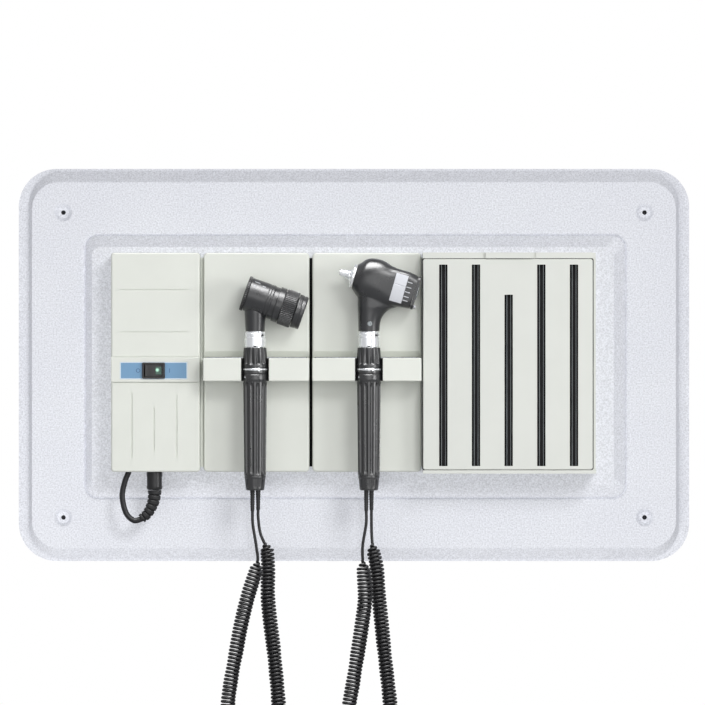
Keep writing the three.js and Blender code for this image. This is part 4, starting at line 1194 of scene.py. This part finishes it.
def supply_lead():
    """The mains inlet plug under the power module, its ribbed boot and the lead that loops back up."""
    plug = centre("supply_plug")
    place = Matrix.Translation((plug.x, plug.y, 0))
    low, high = extent("supply_plug")
    radius = (high.x - low.x) / 2
    body = turned("inlet_plug", [[0, low.z], [radius - 1.3, low.z], [radius - 0.3, low.z + 1.2],
                  [radius, low.z + 3], [radius, -106.8], [6, -106.8], [6, -98], [0, -98]], BLACK, place,
                  64, 0.5, lambda angle, along: -0.5 * max(0, math.cos(2 * angle)) ** 6 * window(along,
                  -120, -112, 1), spacing=1)
    stand_for(body, "supply_plug")
    socket = turned("inlet_socket", [[6.4, -103.8], [9.8, -103.8], [9.8, -96.5], [6.4, -96.5]], BLACK,
                    place, 48, 0.3, closed=True)
    stand_for(socket, "lead_socket")
    bend = [[0, 0, low.z - 0.3], [0, 0, low.z - 4], [-1.3, 0, -137], [-6.4, 0, -147.5], [-12.9, 0, -153.4]]
    path, travelled = smooth_path([(plug.x + x, plug.y + y, z) for x, y, z in bend], 0.35)
    length = travelled[-1]

    def rib(i):
        share = travelled[i] / length
        groove = max(0.0, math.cos(2 * math.pi * travelled[i] / 5.0 + 0.4)) ** 3
        return 6.9 - 2.2 * share - 1.1 * groove * (1 if 0.06 < share < 0.97 else 0)
    boot = make_object("lead_boot", *skin(tube_rings(path, rib, 32)), RUBBER, 50)
    stand_for(boot, "plug_boot")
    loop = [[-11.6, 0, -152.6], [-14.5, 0, -154.2], [-20.9, 0, -155], [-28.4, 0, -147.5], [-32.2, 0, -131],
            [-29.4, 0, -116], [-25.6, 0, -106], [-25.6, 0, -99]]
    path, travelled = smooth_path([(plug.x + x, plug.y + y, z) for x, y, z in loop], 1.2)
    lead = make_object("mains_lead", *skin(tube_rings(path, lambda i: 2.8, 24)), CORD, 60)
    stand_for(lead, "supply_lead")


# ---------------------------------------------------------------- otoscope head

# Cross-sections of [along, top, bottom, half width, squareness], from the front face to the eye.
HEAD_SECTIONS = [[0, 12.2, -12.2, 12.2, 2], [3.2, 15.6, -14.9, 13.8, 2], [7.5, 20.3, -18.5, 16, 2.2],
                 [14, 22.6, -20, 16.8, 2.3], [23, 23, -20, 16.6, 2.5], [33, 20.3, -19.5, 15.6, 3],
                 [40, 19.3, -18.6, 14.6, 4], [52, 19.1, -17, 14, 4.5], [61, 17.4, -15.8, 13.4, 4]]


def head_ring(section, place, count=72):
    """One cross-section as a rounded box. Local X points down and local Y into the wall."""
    along, top, bottom, half_width, squareness = section
    middle, half = (top + bottom) / 2, (top - bottom) / 2
    ring = []
    for i in range(count):
        turn = 2 * math.pi * i / count
        up = math.copysign(abs(math.cos(turn)) ** (2 / squareness), math.cos(turn))
        side = math.copysign(abs(math.sin(turn)) ** (2 / squareness), math.sin(turn))
        ring.append(place @ Vector((-(middle + half * up), half_width * side, along)))
    return ring


def head_loft(name, sections, material, place, smooth=True):
    if smooth:
        sections = smooth_rows(sections, 5)
    return make_object(name, *skin([head_ring(section, place) for section in sections]), material)


def smooth_rows(rows, steps):
    """Rows of numbers with smoothly interpolated rows between them."""
    rows = [np.array(row, float) for row in rows]
    rows = [2 * rows[0] - rows[1], *rows, 2 * rows[-1] - rows[-2]]
    result = []
    for a, b, c, d in zip(rows, rows[1:], rows[2:], rows[3:]):
        for t in np.linspace(0, 1, steps, endpoint=False):
            result.append(0.5 * (2 * b + (c - a) * t + (2 * a - 5 * b + 4 * c - d) * t * t
                                 + (3 * b - a - 3 * c + d) * t ** 3))
    result.append(rows[-2])
    return result


def neck_ring(left, right, half_width, height, place, count=72):
    """A horizontal oval round the handle's axis that reaches further to the right than to the left."""
    ring = []
    for i in range(count):
        turn = 2 * math.pi * i / count
        reach = right if math.cos(turn) > 0 else -left
        ring.append(place @ Vector((reach * math.cos(turn), half_width * math.sin(turn), height)))
    return ring


def flared_neck(place):
    """The neck, which swells on the eye side in one curve into the underside of the head."""
    rows = [[-10.6, 10.6, 10.6, 27], [-10.6, 10.6, 10.6, 33.6]]
    for step in range(13):
        t = step / 12
        right = (1 - t) ** 2 * 10.7 + 2 * t * (1 - t) * 11.6 + t * t * 27.5
        height = (1 - t) ** 2 * 37 + 2 * t * (1 - t) * 54.3 + t * t * 57.4
        rows.append([-10.6 - 0.6 * t, right, 10.7 + 1.6 * t, height])
    rows.append([-11.2, 27, 12, 64])
    rows.append([-11, 24, 11, 72])
    rings = [neck_ring(*row, place) for row in rows]
    return make_object("neck", *skin(rings), HEAD)


def merged(name, parts, voxel, smoothing, material):
    """Joins overlapping closed parts into one skin with softened junctions."""
    work = bmesh.new()
    for part in parts:
        work.from_mesh(part.data)
        bpy.data.objects.remove(part)
    mesh = bpy.data.meshes.new(name)
    work.to_mesh(mesh)
    work.free()
    obj = bpy.data.objects.new(name, mesh)
    bpy.context.scene.collection.objects.link(obj)
    mesh.materials.append(material)
    remesh = obj.modifiers.new("remesh", "REMESH")
    remesh.mode = "VOXEL"
    remesh.voxel_size = voxel * MM
    remesh.use_smooth_shade = True
    smooth = obj.modifiers.new("smooth", "SMOOTH")
    smooth.factor = 0.5
    smooth.iterations = smoothing
    return bake(obj, 60)


def otoscope_shell(aim, place):
    ends = [[-6, 6, -6, 6, 2], *HEAD_SECTIONS, [67, 16, -14.6, 12.8, 4]]
    shell = merged("otoscope_housing", [head_loft("body", ends, HEAD, aim), flared_neck(place)], 0.55, 45,
                   HEAD)
    below = front_stack("tool", [[-40, 40, 10, 33.6, 1, -40], [-40, 40, 10, 33.6, 1, 40]], BLACK, place=place)
    before = prism("tool", [(-40, -40), (40, -40), (40, 40), (-40, 40)], -30, 0, BLACK, aim)
    beyond = prism("tool", [(-40, -40), (40, -40), (40, 40), (-40, 40)], 61, 90, BLACK, aim)
    carve(shell, below, before, beyond)
    weld(shell, turned("spigot", [[0, 24], [6.7, 24], [6.9, 24.4], [6.9, 36], [0, 36]], HEAD, place, 64, 0))
    channel = head_loft("channel", [[-1, 5, -5, 5, 2], [20, 9, -9, 9, 2.2], [62, 11.6, -10.8, 10, 3]],
                        BLACK, aim, False)
    lamp_bore = turned("tool", [[0, 20], [5, 20], [5, 60], [0, 62]], BLACK, place, 32, 0)
    pin_hole = turned("tool", [[0, 53], [1.3, 53], [1.3, 70], [0, 70]], BLACK,
                      aim @ Matrix.Translation((12.8, 0, 0)), 20, 0)
    recesses = []
    for toward in (1, -1):
        facing = aim @ Matrix.Diagonal((1, toward, 1, 1))
        levels = [[-15.2, 13.9, 38.6, 51.9, 0.8, 13.9], [-15.2, 13.9, 38.6, 51.9, 0.8, 20]]
        recesses.append(front_stack("tool", levels, BLACK, place=facing, per_corner=4))
        scoops = [[-9.4 - 0.6, 10.6, 51.9, 58.4, 1, 13.25], [-9.4 - 0.6, 10.6, 51.9, 58.4, 1, 20]]
        recesses.append(front_stack("tool", scoops, BLACK, place=facing, per_corner=4))
    port = turned("tool", [[0, 9.0], [2.8, 9.0], [2.8, 14], [0, 14]], BLACK,
                  place @ Matrix.Translation((0.8, 0, 41.1)) @ Matrix.Rotation(math.pi / 2, 4, "X"), 32, 0)
    carve(shell, channel, lamp_bore, pin_hole, port, *recesses)
    stand_for(shell, "otoscope_shell")


def side_plates(aim):
    """The bright bands on both cheeks of the head and the row of raised ribs beside each. The ribs' pale
    colour is painted highlight, standing for the light along them.
    """
    for node, toward in (("side_plate_front", 1), ("side_plate_back", -1)):
        facing = aim @ Matrix.Diagonal((1, toward, 1, 1))
        name = "cheek_band_" + node.split("_")[-1]
        front = [(-14.8 + 28.3 * step / 16, -15.35 + 0.9 * (step / 8 - 1) ** 2) for step in range(17)]
        plate = prism(name, [*front, (13.5, -13.9), (-14.8, -13.9)], 39, 51.5, STEEL, facing)
        carve(plate, prism("tool", [(-4.2, -16), (-3.4, -16), (-3.4, -14.9), (-4.2, -14.9)], 38, 53, BLACK,
              facing))
        stand_for(soften(plate, 0.3, 2), node)
        for number, height in enumerate((9, 3.9, -0.9, -5.7, -9.6)):
            # Painted highlight: the ribs are pale so that they show as the bright lines the light draws on
            # them.
            rib = slab("%s_rib_%d" % (name, number + 1), (-height - 0.45, -height + 0.45), (13.1, 14.2),
                       (51.9, 57.2), 0.4, PALE_PRINT_AND_GLINT, 0.2, facing, 4)
            ride_with(rib, "otoscope_shell")


def tip_holder(aim):
    profile = [[1.9, -15.7], [2.8, -15.7], [3.1, -14], [3.9, -9], [5.2, -5.6], [6.6, -4.4], [9.2, -3.6],
               [11.4, -2.9], [12, -2.2], [12, -0.4], [4.6, -0.4], [3, -9]]

    def relief(angle, along):
        return -0.9 * max(0, math.cos(4 * angle)) ** 5 * window(along, -5.6, -4.2, 0.5)
    tip = turned("speculum_seat", profile, CHROME, aim, 120, 0.25, relief, closed=True, spacing=0.5)
    stand_for(tip, "tip_holder")


def lens_assembly(aim):
    levels = [[-17.3, 16, -13.4, 13.4, 4.5, -61.3], [-17.3, 16, -13.4, 13.4, 4.5, -64],
              [-16, 14.7, -12.1, 12.1, 3.4, -64]]
    rings = []
    for left, right, bottom, top, corner, along in rounded(levels, [0, 0.7, 0], 4):
        rings.append([aim @ Vector((u, v, -along)) for u, v in rounded_outline((left, right),
                     (bottom, top), corner, 8)])
    frame_obj = make_object("eye_frame", *skin(rings), HEAD)
    bore = turned("tool", [[0, 55], [10.4, 55], [10.4, 62.6], [11.2, 64.2], [0, 70]], BLACK,
                  aim @ Matrix.Translation((-2, 0, 0)), 64, 0)
    pin_hole = turned("tool", [[0, 55], [1.3, 55], [1.3, 70], [0, 70]], BLACK,
                      aim @ Matrix.Translation((12.8, 0, 0)), 20, 0)
    carve(frame_obj, bore, pin_hole)
    stand_for(frame_obj, "lens_frame")
    lens = turned("eye_lens", [[0, 61.6], [10.1, 61.6], [10.1, 63.2], [8.6, 64.0], [6.2, 64.6],
                  [3.4, 64.95], [0, 65.1]], GLASS, aim @ Matrix.Translation((-2, 0, 0)), 64, 0.5)
    stand_for(lens, "viewing_lens")
    pin = turned("eye_pivot", [[0, 54], [1.1, 54], [1.1, 64.3], [1.9, 64.3], [1.9, 65.6], [1.5, 66.2],
                 [0, 66.2]], STEEL, aim @ Matrix.Translation((12.8, 0, 0)), 32, 0.2)
    stand_for(pin, "lens_pivot")


def otoscope_head():
    aim = joint_place("speculum_holder_turn")
    place = handle_place("right")
    otoscope_shell(aim, place)
    side_plates(aim)
    tip_holder(aim)
    lens_assembly(aim)
    lamp = turned("lamp_bulb", [[0, 36], [3.4, 36], [3.4, 46], [2.6, 46.6], [2.6, 52.6], [2, 54.2],
                  [1, 55.2], [0, 55.4]], BRASS, place, 40, 0.4)
    stand_for(lamp, "otoscope_lamp")
    port = place @ Matrix.Translation((0.8, 0, 41.1)) @ Matrix.Rotation(math.pi / 2, 4, "X")
    screw = turned("port_plug", [[0, 9.5], [2.5, 9.5], [2.5, 10.1], [1.9, 10.6], [1.1, 10.6], [0.8, 9.9],
                   [0, 9.9]], RAIL, port, 40, 0.12)
    stand_for(screw, "port_screw")


# ---------------------------------------------------------------- magnifier head


def knurl(count, depth, start, end, sharpness=0.8):
    """Relief of straight ribs round a turned piece between two places along it."""
    def relief(angle, along):
        return -depth * max(0.0, math.cos(count * angle)) ** sharpness * window(along, start, end, 0.5)
    return relief


def magnifier_body(aim, place):
    profile = [[0, 3.6], [17, 3.6], [17, 22.5], [16.75, 22.8], [16.75, 23.4], [17, 23.7], [17, 25.2],
               [16.75, 25.5], [16.75, 26.1], [17, 26.4], [17, 28], [16.4, 28.3], [16.4, 33], [17.7, 33.3],
               [17.7, 39.3], [14.5, 39.3], [14.5, 50], [0, 50]]
    barrel = turned("magnifier_barrel", profile, HEAD, aim, 128, 0.3)
    stem = turned("stem", [[0, 24], [6.9, 24], [6.9, 33.6], [9.5, 33.6], [9.7, 38], [10.5, 51.5],
                  [10.5, 57], [0, 57]], HEAD, place, 96, 0.3)
    bore = turned("tool", [[0, 3], [14, 3], [14, 35], [12, 38], [12, 51], [0, 51]], BLACK, aim, 96, 0)
    wiring = turned("tool", [[0, 20], [4, 20], [4, 58], [0, 58]], BLACK, place, 32, 0)
    weld(barrel, stem)
    carve(barrel, bore, wiring)
    stand_for(barrel, "magnifier_body")


def index_marks(aim):
    """Plain printed index marks on the near top of the barrel."""
    for number, (turn, start, end) in enumerate([(0.62, 6.5, 12), (0.78, 15, 18.5), (0.95, 6.5, 9)]):
        marks = []
        for step in range(5):
            along = start + (end - start) * step / 4
            ring = []
            for offset, reach in ((-0.03, 17.02), (0.03, 17.02), (0.03, 17.12), (-0.03, 17.12)):
                angle = math.pi + turn + offset
                ring.append(aim @ Vector((reach * math.cos(angle), reach * math.sin(angle), along)))
            marks.append(ring)
        mark = make_object("index_mark_%d" % (number + 1), *skin(marks), PALE_PRINT_AND_GLINT)
        ride_with(mark, "magnifier_body")


def magnifier_head():
    aim = joint_place("focus_turn")
    place = handle_place("left")
    magnifier_body(aim, place)
    index_marks(aim)
    ring = turned("contact_rim", [[13.2, 0], [16.9, 0], [17.75, 0.7], [17.75, 3.3], [13.2, 3.3]], BLACK,
                  aim, 216, 0.2, knurl(54, 0.4, 0.9, 3.4, 0.6), closed=True, spacing=0.5)
    stand_for(ring, "contact_ring")
    window_glass = turned("contact_window", [[0, 0.9], [12.6, 0.9], [12.9, 1.2], [12.9, 2.6], [0, 2.6]],
                          GLASS, aim, 64, 0.1)
    stand_for(window_glass, "contact_glass")
    lamp_ring = turned("lamp_ring", [[9.5, 8], [13.6, 8], [13.6, 9.6], [9.5, 9.6]], PCB, aim, 64, 0.1,
                       closed=True)
    stand_for(lamp_ring, "led_ring")
    for number in range(8):
        turn = Matrix.Rotation(2 * math.pi * number / 8, 4, "Z")
        led = turned("led_%d" % (number + 1), [[0, 6.2], [0.9, 6.5], [1.4, 7.2], [1.4, 7.95], [0, 7.95]], LED,
                     aim @ turn @ Matrix.Translation((11.6, 0, 0)), 20, 0.2)
        ride_with(led, "led_ring")
    focus = turned("focus_grip", [[14.8, 39.7], [17.6, 39.7], [18.3, 40.6], [18.3, 52.2], [17.6, 53],
                   [14.8, 53]], HEAD, aim, 348, 0.25, knurl(58, 0.7, 40.5, 52.6, 0.7), closed=True,
                   spacing=0.6)
    stand_for(focus, "focus_ring")
    eyepiece = turned("eye_cup", [[9.5, 44], [11.7, 44], [11.7, 53.4], [16.6, 53.4], [17.2, 54],
                      [16.9, 57.6], [16.5, 57.9], [16.5, 58.5], [16.8, 58.8], [16.7, 61.4], [15.9, 62.2],
                      [12.6, 62.2], [11.5, 61.6], [9.5, 59.6]], HEAD, aim, 128, 0.3, closed=True)
    stand_for(eyepiece, "eyepiece")
    lens = turned("eye_glass", [[0, 54.6], [5, 55.0], [9.2, 55.8], [9.2, 57.4], [5, 58.3], [0, 58.6]],
                  GLASS, aim, 64, 0.6)
    stand_for(lens, "eyepiece_lens")


# ---------------------------------------------------------------- stage, light and camera


def pale_floor():
    nodes = Nodes("studio_floor")
    tinted = nodes.tint(nodes.spread(nodes.noise(240, 3), 0, 1), (0.8, 0.8, 0.8), (0.84, 0.84, 0.84))
    material = nodes.finish(tinted, nodes.spread(nodes.noise(30), 0.6, 0.75),
                            nodes.bump(nodes.noise(4), 0.05))
    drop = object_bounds()[0].z / MM - FLOOR_DROP
    floor = prism("studio_floor", [(-1200, -1200), (1200, -1200), (1200, 1200), (-1200, 1200)], drop - 20,
                  drop, material)
    floor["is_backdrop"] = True


def light_only(lamp, lit, blocking):
    """The lamp lights only some objects, and only some objects shade them from it."""
    for role, members in (("receiver_collection", lit), ("blocker_collection", blocking)):
        collection = bpy.data.collections.new(lamp.name + "_" + role)
        for member in members:
            collection.objects.link(member)
        setattr(lamp.light_linking, role, collection)


def area_light(name, position, target, size, power, colour=(1, 1, 1)):
    data = bpy.data.lights.new(name, "AREA")
    data.shape = "DISK"
    data.size = size
    data.energy = power
    data.color = colour
    lamp = bpy.data.objects.new(name, data)
    lamp.location = position
    lamp.rotation_euler = (Vector(target) - Vector(position)).to_track_quat("-Z", "Y").to_euler()
    bpy.context.scene.collection.objects.link(lamp)
    return lamp


def studio_light():
    """Lamps for the board, the modules and the instruments, weak fill, and a surround seen as white."""
    groups = {"board": [], "modules": [], "instruments": []}
    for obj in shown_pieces():
        words = set(obj.name.split("_"))
        if words & {"wallboard", "backing"}:
            groups["board"].append(obj)
        elif body_of(obj) in ("station", "rocker", "lid") and not words & {"cradle", "module"}:
            groups["modules"].append(obj)
        else:
            groups["instruments"].append(obj)
    for name, group, place, size, power in LAMPS:
        lamp = area_light(name, place, (0, -0.04, 0), size, power)
        light_only(lamp, groups[group], groups[group])
    area_light("fill", (-0.5, -2.6, -0.1), (0, 0, 0), 1.8, 5)
    overhead = area_light("overhead", (-0.1, -0.9, 2.2), (0, -0.05, 0), 1.9, 170)
    light_only(overhead, groups["instruments"], groups["instruments"])
    overhead.visible_diffuse = False
    world = bpy.data.worlds.new("studio")
    bpy.context.scene.world = world
    world.use_nodes = True
    tree = world.node_tree
    tree.nodes.clear()
    output = tree.nodes.new("ShaderNodeOutputWorld")
    chooser = tree.nodes.new("ShaderNodeMixShader")
    path = tree.nodes.new("ShaderNodeLightPath")
    surround = tree.nodes.new("ShaderNodeBackground")
    backdrop = tree.nodes.new("ShaderNodeBackground")
    ramp = tree.nodes.new("ShaderNodeValToRGB")
    gradient = tree.nodes.new("ShaderNodeSeparateXYZ")
    place = tree.nodes.new("ShaderNodeTexCoord")
    tree.links.new(place.outputs["Generated"], gradient.inputs[0])
    shift = tree.nodes.new("ShaderNodeMapRange")
    shift.inputs["From Min"].default_value = -1
    tree.links.new(gradient.outputs["X"], shift.inputs["Value"])
    tree.links.new(shift.outputs["Result"], ramp.inputs["Fac"])
    ramp.color_ramp.interpolation = "B_SPLINE"
    stops = [(0.0, 0.95), (0.26, 1.0), (0.42, 0.22), (0.54, 0.16), (0.68, 0.95), (1.0, 0.75)]
    elements = ramp.color_ramp.elements
    while len(elements) < len(stops):
        elements.new(0.5)
    for element, (position, value) in zip(elements, stops):
        element.position = position
        element.color = (value, value, value * 1.02, 1)
    lift = tree.nodes.new("ShaderNodeMapRange")
    lift.inputs["From Min"].default_value = -1
    lift.inputs["To Min"].default_value = 0.65
    lift.inputs["To Max"].default_value = 1.35
    tree.links.new(gradient.outputs["Z"], lift.inputs["Value"])
    brighter = tree.nodes.new("ShaderNodeVectorMath")
    brighter.operation = "SCALE"
    tree.links.new(ramp.outputs["Color"], brighter.inputs[0])
    tree.links.new(lift.outputs["Result"], brighter.inputs["Scale"])
    tree.links.new(brighter.outputs["Vector"], surround.inputs["Color"])
    surround.inputs["Strength"].default_value = SURROUND
    backdrop.inputs["Color"].default_value = (1, 1, 1, 1)
    tree.links.new(path.outputs["Is Camera Ray"], chooser.inputs[0])
    tree.links.new(surround.outputs[0], chooser.inputs[1])
    tree.links.new(backdrop.outputs[0], chooser.inputs[2])
    tree.links.new(chooser.outputs[0], output.inputs["Surface"])
    bpy.context.scene.view_settings.view_transform = "Standard"


def camera():
    """Level and square on to the wallboard, from far enough away that nothing is foreshortened."""
    low, high = extent("wallboard")
    distance = 8.0
    data = bpy.data.cameras.new("camera")
    data.lens = data.sensor_width * distance / (FRAME_WIDTH * MM)
    data.clip_end = 100
    view = bpy.data.objects.new("camera", data)
    aim = Vector(((low.x + high.x) / 2 - 1.5, low.y, (low.z + high.z) / 2 + 12.5)) * MM
    view.location = aim - Vector((0, distance, 0))
    view.rotation_euler = (math.pi / 2, 0, 0)
    bpy.context.scene.collection.objects.link(view)
    bpy.context.scene.camera = view


wallboard()
backing_board()
power_cover()
power_internals()
switch()
supply_lead()
dispenser()
for side, body in (("left", "magnifier_handle"), ("right", "otoscope_handle")):
    axis_x = handle_place(side).to_translation().x
    cord_offset = centre("strain_relief_" + side).x - axis_x
    cradle(side, axis_x)
    handle(side, cord_offset)
    cord_plug(side)
    cord(side, [(axis_x + x, depth, z) for x, depth, z in CORD_ROUTES[side]], body)
gap_strips()
otoscope_head()
magnifier_head()
pale_floor()
studio_light()
camera()
